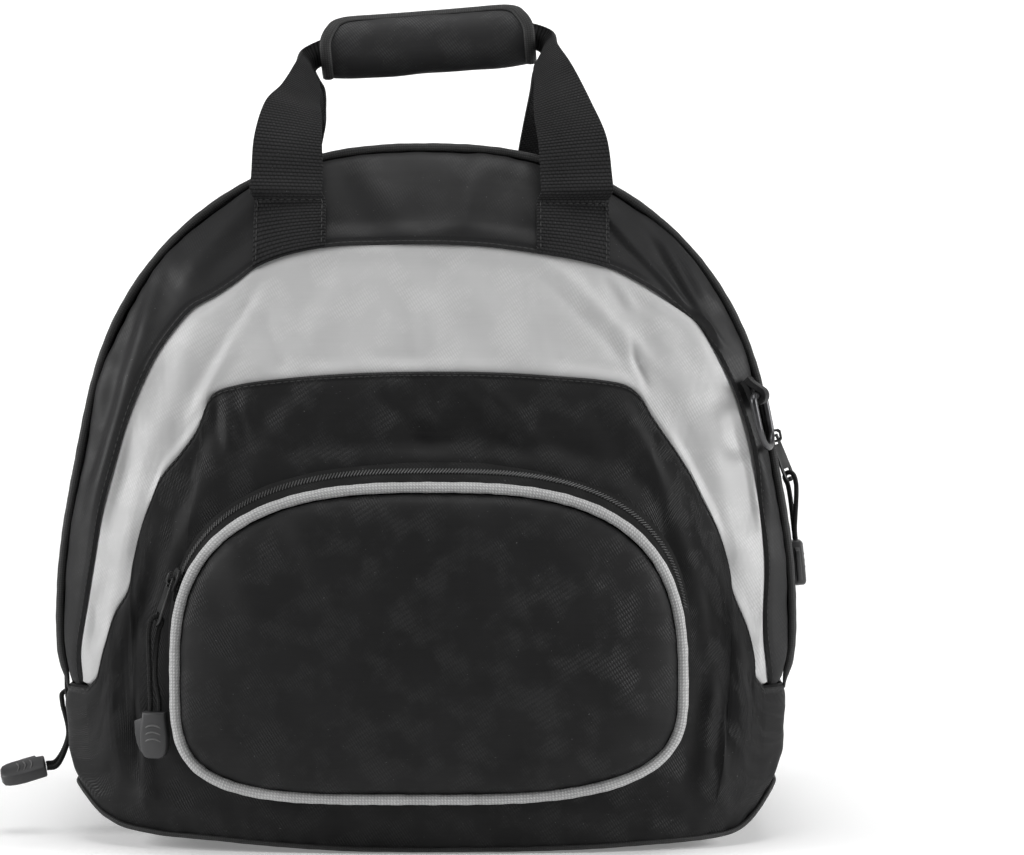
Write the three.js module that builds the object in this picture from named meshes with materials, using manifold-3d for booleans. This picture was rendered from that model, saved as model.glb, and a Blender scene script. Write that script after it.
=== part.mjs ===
// Soft dome-shaped carry bag for a motorcycle helmet, in millimetres.
// X runs to the right, the front faces -Y, Z is up, and the flat base stands on z = 0.

import * as THREE from 'three';
import { mergeVertices } from 'three/addons/utils/BufferGeometryUtils.js';
import Module from 'manifold-3d';

const wasm = await Module();
wasm.setup();

// Cloth and clearances
const CLOTH = 2.5;
const WEBBING = 2.6;
const GAP = 0.4;
const SEAM_GAP = 0.8;

// Body: an arch over lower sides that tuck in, seen from the front, with its flanks a little flattened
const ARCH = { half: 192.5, shoulder: 128, rise: 235, power: 2.35, tuck: 17, tuckPower: 2 };
const FLANK = { flat: 5.2, at: 205, spread: 55 };
const TOP = ARCH.shoulder + ARCH.rise;
const FRONT_EDGE = { low: -104, lean: 32, puff: -45 };
const BACK_EDGE = { low: 104, lean: -26, puff: 14 };
const LEAN_POWER = 1.6;
const PUFF_POWER = { reach: 3.3, depth: 0.6 };
const PANEL_LIMIT = 0.988;
const BACK_LIMIT = 0.984;
const SIDE_BULGE = -3;
const SIDE_SEAM = 82;
const GUSSET_END = 83;
const TIP = 84;
const ARCH_SHARE = 0.88;
const INSIDE = new THREE.Vector3(0, 0, 170);

// Base: flat in the middle share of its width, its ends lifted by the rounded corners
const BASE = { flat: 0.17, lift: 34, power: 7, inset: 4.9, hem: 4.8 };

// Piping radii, and how far each cord stands in front of its seam line
const PIPING = { rim: 2.2, back: 2.2, base: 1.3, pocket: 2.8, forward: 2.8, sides: 5 };

// Zips: chain centre line, half width of the tape, and the coil ridge on it
const ZIP = { at: 40, half: 9, tape: 1.3, coilHalf: 2.6, coilFoot: 3.2, coilHeight: 1.5 };

// Front seams from the top middle down to each tip, as seen from the front.
// lower is the top edge of the lower panel, upper the lower edge of the upper panel.
const SEAM_COLUMNS = ['lowerX', 'lowerZ', 'upperX', 'upperZ'];
const RIGHT_SEAMS = [
  [0, 246.5, 0, 312],
  [38, 246, 30, 311],
  [70, 244, 58, 307.5],
  [92, 242, 79, 304],
  [105, 239, 98, 299],
  [112, 233, 112, 292],
  [116, 226, 124, 284.5],
  [122, 217, 134, 277.5],
  [129, 207, 143, 270],
  [136, 196, 151, 257.5],
  [144, 180, 160.5, 238],
  [151, 166, 167, 218],
  [156.5, 149, 172, 196],
  [159, 134, 175.5, 172],
  [167, 114.5, 177.5, 145],
  [172, 99, 177, 118],
  [173.5, 89, 178, 100],
  [177, 83.4, 182, 83.6],
];
const LEFT_SEAMS = [
  [0, 246.5, 0, 312],
  [38, 245.5, 30, 312],
  [72, 243, 56, 310],
  [96, 239.7, 76, 305.5],
  [108, 236, 89, 300],
  [112, 231, 98, 293],
  [114.5, 224, 110, 285],
  [118, 216, 121, 279],
  [126, 205, 131, 268],
  [135.5, 193.5, 140, 255],
  [141, 181, 148, 239],
  [145.5, 169, 155.5, 220],
  [149.5, 153, 162.5, 196],
  [153, 135, 169, 171],
  [160.5, 122, 173, 147],
  [166, 105, 176, 126],
  [170.5, 89.5, 180, 101],
  [176, 83.4, 182, 83.6],
];

// Front pocket: a rounded outline standing off the lower panel on a slanted wall
const POCKET = {
  x: 2.8, z: 109.4, halfX: 128.9, top: 187.5, bottom: 31.3, depth: 21, puff: 12, faceInset: 3.4,
  slantSide: 5, slantTop: 14, wallBack: 1.9, wallFront: 16, pipingDepth: 19.5, zipEnd: 0.25, zipGap: 0.03,
};
// Height of the widest place on each side, and how square the corners above and below it are
const POCKET_SIDE = {
  left: { waist: 96, above: 2.7, below: 4.2 },
  right: { waist: 86, above: 2.9, below: 3.1 },
};

// Handle: two webbing straps that meet inside a padded wrap
const STRAP = { width: 38, sewnLow: 309, sewnHigh: 332, proud: 4.8, across: 4, joinLow: 348, joinHigh: 414 };
const STRAP_SPAN = { frontMiddle: 3, frontHalf: 74, rearMiddle: -10, rearHalf: 74 };
const STRAP_COLUMNS = ['z', 'shift', 'front', 'rear', 'width', 'turn'];
const STRAP_PATH = [
  [348, 1.5, -98, 92, 37.5, 2],
  [366, 0.5, -92, 87, 36, 6],
  [384, -3, -74, 71, 31, 14],
  [398, -7, -52, 51, 23, 28],
  [410, -10.5, -28, 28, 18, 46],
  [419, -11, -7.6, 7.6, 13.4, 72],
  [423, -24, -5.6, 5.6, 14, 88],
];
const GRIP = {
  x: -1.2, z: 423, length: 116, radius: 17, wall: 4, tilt: 4.4, slitAt: 74, slit: 4, turns: 20,
  bindWidth: 6, bindHeight: 1.1, bindLow: -48, bindHigh: 62,
};

// Strap rings: a steel D hanging from a folded webbing tab, in front of the rim at the right
// and behind it at the left
const D_RING = {
  z: 233, lean: 12, wire: 1.8, half: 12, rise: 2.4, drop: 25, points: 20,
};
const RING_PLACES = {
  right: { x: 173.3, y: -106.9, turn: -18 },
  left: { x: -166, y: 102.9, turn: 106 },
};
const TAB = { loop: 4.4, hole: 2.4, tailX: -6.8, tailZ: 8.2, width: 9, shift: 0.5 };

// Zip pulls: slider on the chain, flat puller on its bail, cord loop, moulded cord end
const SLIDER = { length: 12, width: 8.5, plate: 1.9, bail: 7, window: 4.4, bar: 1.3 };
const PULLER = { length: 26, narrow: 7.4, wide: 9.6, thick: 1.2, eye: 4, slot: 4.8, bar: 1.3 };
const CORD = { radius: 1.3, sides: 8, spread: 2.3, entry: 5, step: 5 };
const CORD_END = { length: 24, width: 15, thick: 7, bevel: 1.6, lip: 3.2, lipThick: 2.4 };

const { clamp, degToRad, lerp: mix } = THREE.MathUtils;
const point = (x, y, z) => new THREE.Vector3(x, y, z);
const named = (columns, row) => Object.fromEntries(columns.map((name, i) => [name, row[i]]));
const spread = (count, low, high) => Array.from({ length: count + 1 }, (_, i) => mix(low, high, i / count));
const eased = (count, limit) => spread(count, -Math.PI / 2, Math.PI / 2).map((a) => limit * Math.sin(a));
const signedPower = (value, power) => Math.sign(value) * Math.abs(value) ** power;

// Body surface

// Half width of the sides, as if they ran on upwards without the arch
function sideWidth(z) {
  const below = clamp((ARCH.shoulder - z) / ARCH.shoulder, 0, 1);
  const flank = FLANK.flat * Math.exp(-(((z - FLANK.at) / FLANK.spread) ** 2));
  return ARCH.half - ARCH.tuck * below ** ARCH.tuckPower - flank;
}

const archShare = (z) => clamp((z - ARCH.shoulder) / ARCH.rise, 0, 1);

function halfWidth(z) {
  return sideWidth(z) * (1 - archShare(z) ** ARCH.power) ** (1 / ARCH.power);
}

// 0 in the middle of a face, 1 on the rim
function reach(x, z) {
  const sideways = (Math.abs(x) / sideWidth(z)) ** ARCH.power;
  return (sideways + archShare(z) ** ARCH.power) ** (1 / ARCH.power);
}

const edgeY = (edge, z) => edge.low + edge.lean * Math.max(0, z / TOP) ** LEAN_POWER;

function faceY(edge, x, z) {
  const from = Math.min(1, reach(x, z)) ** PUFF_POWER.reach;
  return edgeY(edge, z) + edge.puff * (1 - from) ** PUFF_POWER.depth;
}

const onFront = (x, z, proud = 0) => point(x, faceY(FRONT_EDGE, x, z) - proud, z);
const onBack = (x, z, proud = 0) => point(x, faceY(BACK_EDGE, x, z) + proud, z);

// Height of the base seam at a share of the half width
function baseLift(share) {
  const out = clamp((Math.abs(share) - BASE.flat) / (1 - BASE.flat), 0, 1);
  return BASE.lift * out ** BASE.power;
}

// Height of a panel's lower edge above the base seam, more where the seam climbs steeply
function baseHem(share) {
  const step = 0.01;
  const rise = baseLift(share) - baseLift(Math.abs(share) - step);
  return BASE.hem * Math.hypot(1, rise / (step * ARCH.half));
}

// The rim seen from the front: q is -1 at the left side seam, 0 at the top, 1 at the right side seam
function rimAt(q) {
  const part = Math.abs(q);
  const side = Math.sign(q);
  if (part > ARCH_SHARE) {
    const z = mix(ARCH.shoulder, GUSSET_END, (part - ARCH_SHARE) / (1 - ARCH_SHARE));
    return new THREE.Vector2(side * halfWidth(z), z);
  }
  const turn = (1 - part / ARCH_SHARE) * (Math.PI / 2);
  const z = ARCH.shoulder + ARCH.rise * Math.sin(turn) ** (2 / ARCH.power);
  const x = side * sideWidth(z) * Math.cos(turn) ** (2 / ARCH.power);
  return new THREE.Vector2(x, z);
}

function rimOut(q) {
  const step = 0.004;
  const along = rimAt(Math.min(1, q + step)).sub(rimAt(Math.max(-1, q - step)));
  return new THREE.Vector2(-along.y, along.x).normalize();
}

// A point of the gusset, at a distance behind the front rim
function onGusset(q, behind, proud = 0) {
  const rim = rimAt(q);
  const front = edgeY(FRONT_EDGE, rim.y);
  const share = behind / (edgeY(BACK_EDGE, rim.y) - front);
  const out = rimOut(q).multiplyScalar(SIDE_BULGE * Math.sin(Math.PI * share) + proud);
  return point(rim.x + out.x, front + behind, rim.y + out.y);
}

const gussetDepth = (q) => edgeY(BACK_EDGE, rimAt(q).y) - edgeY(FRONT_EDGE, rimAt(q).y);

// Closed solids

function closedMesh(points, triangles) {
  const volume = new THREE.Vector3();
  let six = 0;
  for (let i = 0; i < triangles.length; i += 3) {
    volume.crossVectors(points[triangles[i + 1]], points[triangles[i + 2]]);
    six += points[triangles[i]].dot(volume);
  }
  const facing = six < 0 ? triangles.reverse() : triangles;
  const geometry = new THREE.BufferGeometry().setFromPoints(points);
  geometry.setIndex(facing);
  return geometry;
}

// A sheet of cloth: rows of outer points, thickened away from the outside
function wall(rows, thickness, inside = INSIDE) {
  const along = rows.length;
  const across = rows[0].length;
  const near = (i, j) => rows[clamp(i, 0, along - 1)][clamp(j, 0, across - 1)];
  const normalAt = (i, j) => {
    const down = near(i + 1, j).clone().sub(near(i - 1, j));
    const over = near(i, j + 1).clone().sub(near(i, j - 1));
    return down.cross(over).normalize();
  };
  const normals = rows.map((row, i) => row.map((_, j) => normalAt(i, j)));
  let facing = 0;
  rows.forEach((row, i) => row.forEach((p, j) => {
    facing += normals[i][j].dot(p.clone().sub(inside));
  }));
  const inwards = -Math.sign(facing) * thickness;
  const outer = rows.flat();
  const inner = rows.flatMap((row, i) => (
    row.map((p, j) => p.clone().addScaledVector(normals[i][j], inwards))));
  const out = (i, j) => i * across + j;
  const inn = (i, j) => outer.length + out(i, j);
  const triangles = [];
  const quad = (a, b, c, d) => triangles.push(a, b, c, a, c, d);
  const lastI = along - 1;
  const lastJ = across - 1;
  for (let i = 0; i < lastI; i += 1) {
    for (let j = 0; j < lastJ; j += 1) {
      quad(out(i, j), out(i + 1, j), out(i + 1, j + 1), out(i, j + 1));
      quad(inn(i, j), inn(i, j + 1), inn(i + 1, j + 1), inn(i + 1, j));
    }
    quad(out(i, 0), inn(i, 0), inn(i + 1, 0), out(i + 1, 0));
    quad(out(i + 1, lastJ), inn(i + 1, lastJ), inn(i, lastJ), out(i, lastJ));
  }
  for (let j = 0; j < lastJ; j += 1) {
    quad(out(0, j + 1), inn(0, j + 1), inn(0, j), out(0, j));
    quad(out(lastI, j), inn(lastI, j), inn(lastI, j + 1), out(lastI, j + 1));
  }
  return closedMesh([...outer, ...inner], triangles);
}

// A flat section carried along frames of { at, across, out }
function sweep(frames, section) {
  const sides = section.length;
  const points = frames.flatMap(({ at, across, out }) => section.map(([a, b]) => (
    at.clone().addScaledVector(across, a).addScaledVector(out, b))));
  const triangles = [];
  for (let i = 0; i + 1 < frames.length; i += 1) {
    for (let j = 0; j < sides; j += 1) {
      const k = (j + 1) % sides;
      const here = i * sides;
      const next = here + sides;
      triangles.push(here + j, here + k, next + k, here + j, next + k, next + j);
    }
  }
  const outline = section.map(([a, b]) => new THREE.Vector2(a, b));
  const last = (frames.length - 1) * sides;
  for (const [a, b, c] of THREE.ShapeUtils.triangulateShape(outline, [])) {
    triangles.push(a, c, b);
    triangles.push(last + a, last + b, last + c);
  }
  return closedMesh(points, triangles);
}

function roundSection(radius, sides) {
  const corner = (i) => (i / sides) * Math.PI * 2;
  return new THREE.Shape(Array.from({ length: sides }, (_, i) => (
    new THREE.Vector2(radius * Math.cos(corner(i)), radius * Math.sin(corner(i))))));
}

function rod(points, radius, sides, steps) {
  const extrudePath = new THREE.CatmullRomCurve3(points);
  return new THREE.ExtrudeGeometry(roundSection(radius, sides), { steps, bevelEnabled: false, extrudePath });
}

function loop(points, radius, sides, steps) {
  return new THREE.TubeGeometry(new THREE.CatmullRomCurve3(points, true), steps, radius, sides, true);
}

function solid(geometry) {
  const bare = geometry.clone();
  bare.deleteAttribute('normal');
  bare.deleteAttribute('uv');
  const merged = mergeVertices(bare, 1e-4);
  const vertProperties = new Float32Array(merged.attributes.position.array);
  const triVerts = new Uint32Array(merged.index.array);
  return new wasm.Manifold(new wasm.Mesh({ numProp: 3, vertProperties, triVerts }));
}

function joined(...geometries) {
  const whole = geometries.map(solid).reduce((a, b) => a.add(b));
  const mesh = whole.getMesh();
  const geometry = new THREE.BufferGeometry();
  geometry.setAttribute('position', new THREE.BufferAttribute(new Float32Array(mesh.vertProperties), 3));
  geometry.setIndex(new THREE.BufferAttribute(new Uint32Array(mesh.triVerts), 1));
  return geometry;
}

// Materials

const finish = (color, roughness, metalness = 0) => (
  new THREE.MeshStandardMaterial({ color, roughness, metalness }));
const BLACK_CLOTH = finish(0x262626, 0.85);
const CHARCOAL_CLOTH = finish(0x2f2f2f, 0.85);
const GREY_CLOTH = finish(0xb4b4b4, 0.7);
const BLACK_WEBBING = finish(0x202020, 0.9);
const BLACK_PIPING = finish(0x1c1c1c, 0.8);
const GREY_PIPING = finish(0xa9a9a9, 0.75);
const ZIP_CHAIN = finish(0x151515, 0.6);
const BLACK_METAL = finish(0x1a1a1a, 0.4, 0.7);
const DARK_STEEL = finish(0x5c5c5e, 0.35, 0.9);
const BLACK_CORD = finish(0x141414, 0.9);
const BLACK_PLASTIC = finish(0x2a2a2a, 0.5);

const bag = new THREE.Group();

function add(name, geometry, material, parent = bag) {
  const mesh = new THREE.Mesh(geometry, material);
  mesh.name = name;
  parent.add(mesh);
  return mesh;
}

// Front panels

// One list of seam stations from the left tip over the top to the right tip
const stations = [
  ...LEFT_SEAMS.slice(1).reverse().map((row) => ({ ...named(SEAM_COLUMNS, row), side: -1 })),
  ...RIGHT_SEAMS.map((row) => ({ ...named(SEAM_COLUMNS, row), side: 1 })),
].map(({ lowerX, lowerZ, upperX, upperZ, side }) => ({
  lower: new THREE.Vector2(side * lowerX, lowerZ),
  upper: new THREE.Vector2(side * upperX, upperZ),
}));

// The last point of a panel before the rim piping, straight out from a point of the face
function panelEdge(at) {
  const grow = PANEL_LIMIT / reach(at.x, at.y);
  const z = at.y < ARCH.shoulder ? at.y : ARCH.shoulder + (at.y - ARCH.shoulder) * grow;
  return new THREE.Vector2((at.x / sideWidth(at.y)) * grow * sideWidth(z), z);
}

// Rows of a band between two seam lines, its first edge moved a gap away from its neighbour
function band(fromLine, toLine, shares) {
  return fromLine.map((from, i) => {
    const ahead = fromLine[Math.min(fromLine.length - 1, i + 1)];
    const run = ahead.clone().sub(fromLine[Math.max(0, i - 1)]).normalize();
    const start = new THREE.Vector2(-run.y, run.x).multiplyScalar(SEAM_GAP).add(from);
    return shares.map((share) => {
      const at = start.clone().lerp(toLine[i], share);
      return onFront(at.x, at.y);
    });
  });
}

const GREY_ROWS = spread(3, 0, 1);
const UPPER_ROWS = [0, 0.35, 0.65, 0.88, 1];
const lowerSeam = stations.map(({ lower }) => lower);
const upperSeam = stations.map(({ upper }) => upper);
add('front_grey_panel', wall(band(lowerSeam, upperSeam, GREY_ROWS), CLOTH), GREY_CLOTH);
add('front_upper_panel', wall(band(upperSeam, upperSeam.map(panelEdge), UPPER_ROWS), CLOTH), CHARCOAL_CLOTH);

// The lower panel: columns up the front to the grey seam, round the corners and back along the sides
const LOWER_ROWS = spread(5, 0, 1);
const CORNER_SHARES = [0.965, 0.988, 1];
const SIDE_STEPS = [0.1, 0.35, 0.7, 1];

function frontColumn(share, top) {
  const low = baseLift(share) + baseHem(share);
  return LOWER_ROWS.map((row) => {
    const z = mix(low, top, row);
    return onFront(share * halfWidth(z), z);
  });
}

function sideColumn(side, step) {
  return LOWER_ROWS.map((row) => {
    const z = mix(BASE.lift + BASE.hem, SIDE_SEAM, row);
    const front = edgeY(FRONT_EDGE, z);
    const back = edgeY(BACK_EDGE, z) - PIPING.back / 2;
    return point(side * (halfWidth(z) + SIDE_BULGE * Math.sin(Math.PI * step)), mix(front, back, step), z);
  });
}

const lowerColumns = [
  ...SIDE_STEPS.map((step) => sideColumn(-1, step)).reverse(),
  ...CORNER_SHARES.map((share) => frontColumn(-share, SIDE_SEAM)).reverse(),
  ...lowerSeam.map((at) => frontColumn(at.x / halfWidth(at.y), at.y < TIP ? SIDE_SEAM : at.y)),
  ...CORNER_SHARES.map((share) => frontColumn(share, SIDE_SEAM)),
  ...SIDE_STEPS.map((step) => sideColumn(1, step)),
];
add('front_lower_panel', wall(lowerColumns, CLOTH), BLACK_CLOTH);

// Back and base

const BACK_COLUMNS = eased(18, BACK_LIMIT);
const BACK_ROWS = spread(6, 0, 1);
const backPanel = BACK_COLUMNS.map((share) => {
  const low = baseLift(share) + baseHem(share);
  const left = BACK_LIMIT ** ARCH.power - Math.min(BACK_LIMIT, Math.abs(share)) ** ARCH.power;
  const high = ARCH.shoulder + ARCH.rise * left ** (1 / ARCH.power);
  return BACK_ROWS.map((row) => {
    const z = mix(low, high, row);
    return onBack(share * sideWidth(z), z);
  });
});
add('back_panel', wall(backPanel, CLOTH), BLACK_CLOTH);

const BASE_SHARES = [1, 0.97, 0.93, 0.88, 0.8, 0.68, 0.5, 0.25];
const baseColumns = [...BASE_SHARES.map((share) => -share), 0, ...BASE_SHARES.toReversed()];
const basePanel = baseColumns.map((share) => {
  const z = baseLift(share);
  const x = share * halfWidth(z);
  const front = faceY(FRONT_EDGE, x, z) + BASE.inset;
  const back = faceY(BACK_EDGE, x, z) - BASE.inset;
  return spread(3, front, back).map((y) => point(x - share * BASE.inset, y, z));
});
add('base_panel', wall(basePanel, CLOTH), BLACK_CLOTH);

// Gusset and main zip

const RIM_STEPS = spread(36, -1, 1);
const chainFront = ZIP.at - ZIP.half;
const chainBack = ZIP.at + ZIP.half;
const gussetStrip = (from, to, count) => RIM_STEPS.map((q) => (
  spread(count, from(q), to(q)).map((behind) => onGusset(q, behind))));
add('gusset_front_strip', wall(gussetStrip(() => 0, () => chainFront - GAP, 2), CLOTH), CHARCOAL_CLOTH);
const rearStrip = gussetStrip(() => chainBack + GAP, (q) => gussetDepth(q) - PIPING.back / 2, 2);
add('gusset_rear_strip', wall(rearStrip, CLOTH), CHARCOAL_CLOTH);

// Tape with the raised coil along its middle
const chainSection = (half) => [
  [-half, 0], [-half, -ZIP.tape], [half, -ZIP.tape], [half, 0],
  [ZIP.coilFoot, 0], [ZIP.coilHalf, ZIP.coilHeight],
  [-ZIP.coilHalf, ZIP.coilHeight], [-ZIP.coilFoot, 0],
];
const zipFrames = RIM_STEPS.map((q) => {
  const out = rimOut(q);
  return { at: onGusset(q, ZIP.at), across: point(0, 1, 0), out: point(out.x, 0, out.y) };
});
add('main_zipper', sweep(zipFrames, chainSection(ZIP.half)), ZIP_CHAIN);

// Piping

const pipingSteps = spread(40, -1, 1);
const rimLine = pipingSteps.map((q) => {
  const rim = rimAt(q);
  return point(rim.x, edgeY(FRONT_EDGE, rim.y) - PIPING.forward, rim.y);
});
add('rim_piping', rod(rimLine, PIPING.rim, PIPING.sides, 46), BLACK_PIPING);

const backLine = pipingSteps.map((q) => {
  const rim = rimAt(q);
  return point(rim.x, edgeY(BACK_EDGE, rim.y) + PIPING.forward / 2, rim.y);
});
const backFoot = (side) => spread(3, BASE.lift + BASE.hem, SIDE_SEAM - 14).map((z) => (
  point(side * halfWidth(z), edgeY(BACK_EDGE, z) + PIPING.forward / 2, z)));
const backPath = [...backFoot(-1), ...backLine, ...backFoot(1).reverse()];
add('back_piping', rod(backPath, PIPING.back, PIPING.sides, 46), BLACK_PIPING);

const basePipeZ = (share) => baseLift(share) + PIPING.base + 0.6;
const baseEdge = (edge) => eased(14, 1).map((share) => {
  const x = share * halfWidth(baseLift(share));
  return point(x, faceY(edge, x, baseLift(share)), basePipeZ(share));
});
const baseSide = (side) => [-0.5, 0, 0.5].map((part) => (
  point(side * halfWidth(BASE.lift), part * BACK_EDGE.low * 1.2, basePipeZ(1))));
const basePath = [
  ...baseEdge(FRONT_EDGE), ...baseSide(1), ...baseEdge(BACK_EDGE).reverse(), ...baseSide(-1).reverse(),
];
add('base_piping', loop(basePath, PIPING.base, PIPING.sides, 56), BLACK_PIPING);

// Front pocket

// The quarter of the pocket's outline on one side, above or below its widest place
function pocketQuarter(right, up) {
  const { waist, above, below } = right ? POCKET_SIDE.right : POCKET_SIDE.left;
  return { waist, power: up ? above : below, tall: up ? POCKET.top - waist : waist - POCKET.bottom };
}

// A point of the pocket's outline at an angle, grown outwards
function pocketOutline(angle, grow = 0) {
  const { waist, power, tall } = pocketQuarter(Math.cos(angle) >= 0, Math.sin(angle) >= 0);
  const x = POCKET.x + (POCKET.halfX + grow) * signedPower(Math.cos(angle), 2 / power);
  const z = waist + (tall + grow) * signedPower(Math.sin(angle), 2 / power);
  return new THREE.Vector2(x, z);
}

// The pocket's wall slants out from the piping to the panel behind it, most of all at the top
function onPocketWall(angle, depth) {
  const slant = mix(POCKET.slantSide, POCKET.slantTop, Math.max(0, Math.sin(angle)));
  const at = pocketOutline(angle, slant * (1 - depth / POCKET.depth));
  return onFront(at.x, at.y, depth);
}

const POCKET_STEPS = 52;
const pocketLine = Array.from({ length: POCKET_STEPS }, (_, i) => (
  onPocketWall((i / POCKET_STEPS) * Math.PI * 2, POCKET.pipingDepth)));
add('pocket_piping', loop(pocketLine, PIPING.pocket, PIPING.sides, 56), GREY_PIPING);

const pocketHeart = onFront(POCKET.x, POCKET.z, POCKET.depth / 2);
const zipAngles = spread(26, POCKET.zipEnd, Math.PI - POCKET.zipEnd);
const pocketZipFrames = zipAngles.map((angle) => {
  const front = onPocketWall(angle, POCKET.wallFront);
  const back = onPocketWall(angle, POCKET.wallBack);
  const across = back.clone().sub(front).normalize();
  const midWall = (at) => onPocketWall(at, POCKET.depth / 2);
  const ahead = midWall(angle + 0.02).sub(midWall(angle - 0.02));
  const out = ahead.cross(across).normalize();
  const at = front.clone().lerp(back, 0.5);
  return { at, across, out: out.dot(at.clone().sub(pocketHeart)) > 0 ? out : out.negate() };
});
const pocketZipHalf = onPocketWall(0, POCKET.wallFront).distanceTo(onPocketWall(0, POCKET.wallBack)) / 2;
add('pocket_zipper', sweep(pocketZipFrames, chainSection(pocketZipHalf)), ZIP_CHAIN);

const wallEnd = POCKET.zipEnd - POCKET.zipGap;
const pocketWall = spread(26, -Math.PI - wallEnd, wallEnd).map((angle) => (
  spread(2, POCKET.wallFront, POCKET.wallBack).map((depth) => onPocketWall(angle, depth))));
add('pocket_gusset', wall(pocketWall, CLOTH - 0.5, pocketHeart), BLACK_CLOTH);

// The face swells from its seam to its middle, by its share of the way along and up a column
function pocketFacePoint(x, z, across, up) {
  const out = Math.min(1, (across ** 3 + Math.abs(up) ** 3) ** (1 / 3));
  return onFront(x, z, POCKET.depth + POCKET.puff * (1 - out ** 3.2) ** 0.6);
}

const faceHalfX = POCKET.halfX - POCKET.faceInset;
const pocketFace = eased(18, 0.998).map((share) => {
  const across = Math.abs(share);
  const seamZ = (up) => {
    const { waist, power, tall } = pocketQuarter(share >= 0, up);
    return waist + (up ? 1 : -1) * (tall - POCKET.faceInset) * (1 - across ** power) ** (1 / power);
  };
  return spread(6, -1, 1).map((up) => {
    const z = mix(seamZ(false), seamZ(true), (up + 1) / 2);
    return pocketFacePoint(POCKET.x + share * faceHalfX, z, across, up * (1 - across ** 3) ** (1 / 3));
  });
});
add('pocket_face', wall(pocketFace, CLOTH - 0.5), BLACK_CLOTH);

// Handle

const gripRise = (x) => GRIP.z + Math.tan(degToRad(GRIP.tilt)) * (x - GRIP.x);
const acrossStrap = spread(STRAP.across, -0.5, 0.5);

// One end of a strap, from its sewn foot up to the grip, as rows of outer points
function strapEnd(side, middle, half, face) {
  const sewn = spread(2, STRAP.sewnLow, STRAP.sewnHigh).map((z) => acrossStrap.map((part) => {
    const x = middle + side * (half + part * STRAP.width);
    return face === 'front' ? onFront(x, z, STRAP.proud) : onBack(x, z, STRAP.proud);
  }));
  const free = STRAP_PATH.map((row) => {
    const { z, shift, width, turn, ...depth } = named(STRAP_COLUMNS, row);
    const gathered = THREE.MathUtils.smoothstep(z, STRAP.joinLow, STRAP.joinHigh);
    const x = mix(middle, GRIP.x, gathered) + side * (half + shift);
    const drift = z / GRIP.z > 0.94 ? gripRise(x) - GRIP.z : 0;
    const tilt = degToRad(turn);
    return acrossStrap.map((part) => point(
      x + side * part * width * Math.cos(tilt), depth[face], z + drift + part * width * Math.sin(tilt)));
  });
  return [...sewn, ...free];
}

function strap(middle, half, face) {
  const left = strapEnd(-1, middle, half, face);
  const right = strapEnd(1, middle, half, face).reverse();
  return wall([...left, ...right], WEBBING);
}

add('handle_strap_front', strap(STRAP_SPAN.frontMiddle, STRAP_SPAN.frontHalf, 'front'), BLACK_WEBBING);
add('handle_strap_rear', strap(STRAP_SPAN.rearMiddle, STRAP_SPAN.rearHalf, 'rear'), BLACK_WEBBING);

// The padded wrap is a split tube; angles run from the front (-Y) upwards
const handle = new THREE.Group();
handle.position.set(GRIP.x, 0, GRIP.z);
handle.rotation.y = -degToRad(GRIP.tilt);
bag.add(handle);

const onGrip = (along, angle, radius) => point(
  along, -Math.cos(degToRad(angle)) * radius, Math.sin(degToRad(angle)) * radius);
const wrapAngles = spread(GRIP.turns, GRIP.slitAt + GRIP.slit / 2, GRIP.slitAt - GRIP.slit / 2 + 360);
const wrapRows = wrapAngles.map((angle) => (
  spread(2, -GRIP.length / 2, GRIP.length / 2).map((along) => onGrip(along, angle, GRIP.radius))));
add('handle_grip', wall(wrapRows, GRIP.wall, point(0, 0, 0)), BLACK_CLOTH, handle);

// Edge tape up the front of one end, along the flap's top edge and down the other end
const bindEnd = GRIP.length / 2 - GRIP.bindWidth / 2;
const bindCorner = 9;
const bindRise = spread(8, GRIP.bindLow, GRIP.bindHigh - 12);
const bindPath = [
  ...bindRise.map((angle) => [-bindEnd, angle]),
  [-bindEnd + bindCorner / 3, GRIP.bindHigh - 4],
  [-bindEnd + bindCorner, GRIP.bindHigh],
  ...spread(3, -bindEnd + bindCorner * 2, bindEnd - bindCorner * 2).map((along) => [along, GRIP.bindHigh]),
  [bindEnd - bindCorner, GRIP.bindHigh],
  [bindEnd - bindCorner / 3, GRIP.bindHigh - 4],
  ...bindRise.map((angle) => [bindEnd, angle]).reverse(),
];
const bindRadius = GRIP.radius + GAP;
const bindFrames = bindPath.map(([along, angle], i) => {
  const ahead = bindPath[Math.min(bindPath.length - 1, i + 1)];
  const behind = bindPath[Math.max(0, i - 1)];
  const run = onGrip(...ahead, bindRadius).sub(onGrip(...behind, bindRadius));
  const out = onGrip(0, angle, 1);
  return { at: onGrip(along, angle, bindRadius), across: out.clone().cross(run).normalize(), out };
});
const bindHalf = GRIP.bindWidth / 2;
const bindSection = [
  [-bindHalf, 0], [bindHalf, 0], [bindHalf, GRIP.bindHeight], [-bindHalf, GRIP.bindHeight],
];
add('grip_binding', sweep(bindFrames, bindSection), BLACK_WEBBING, handle);

// Strap rings, in a frame whose X points away from the bag and whose Y runs along the ring's bar

const ringAngles = Array.from({ length: D_RING.points }, (_, i) => (i / D_RING.points) * Math.PI * 2);
const ringLine = ringAngles.map((angle) => {
  const wide = D_RING.half * signedPower(Math.cos(angle), 0.7);
  const tall = Math.sin(angle) > 0 ? D_RING.rise : D_RING.drop;
  return point(0, wide, tall * signedPower(Math.sin(angle), Math.sin(angle) > 0 ? 0.3 : 0.9) - D_RING.rise);
});

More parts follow.
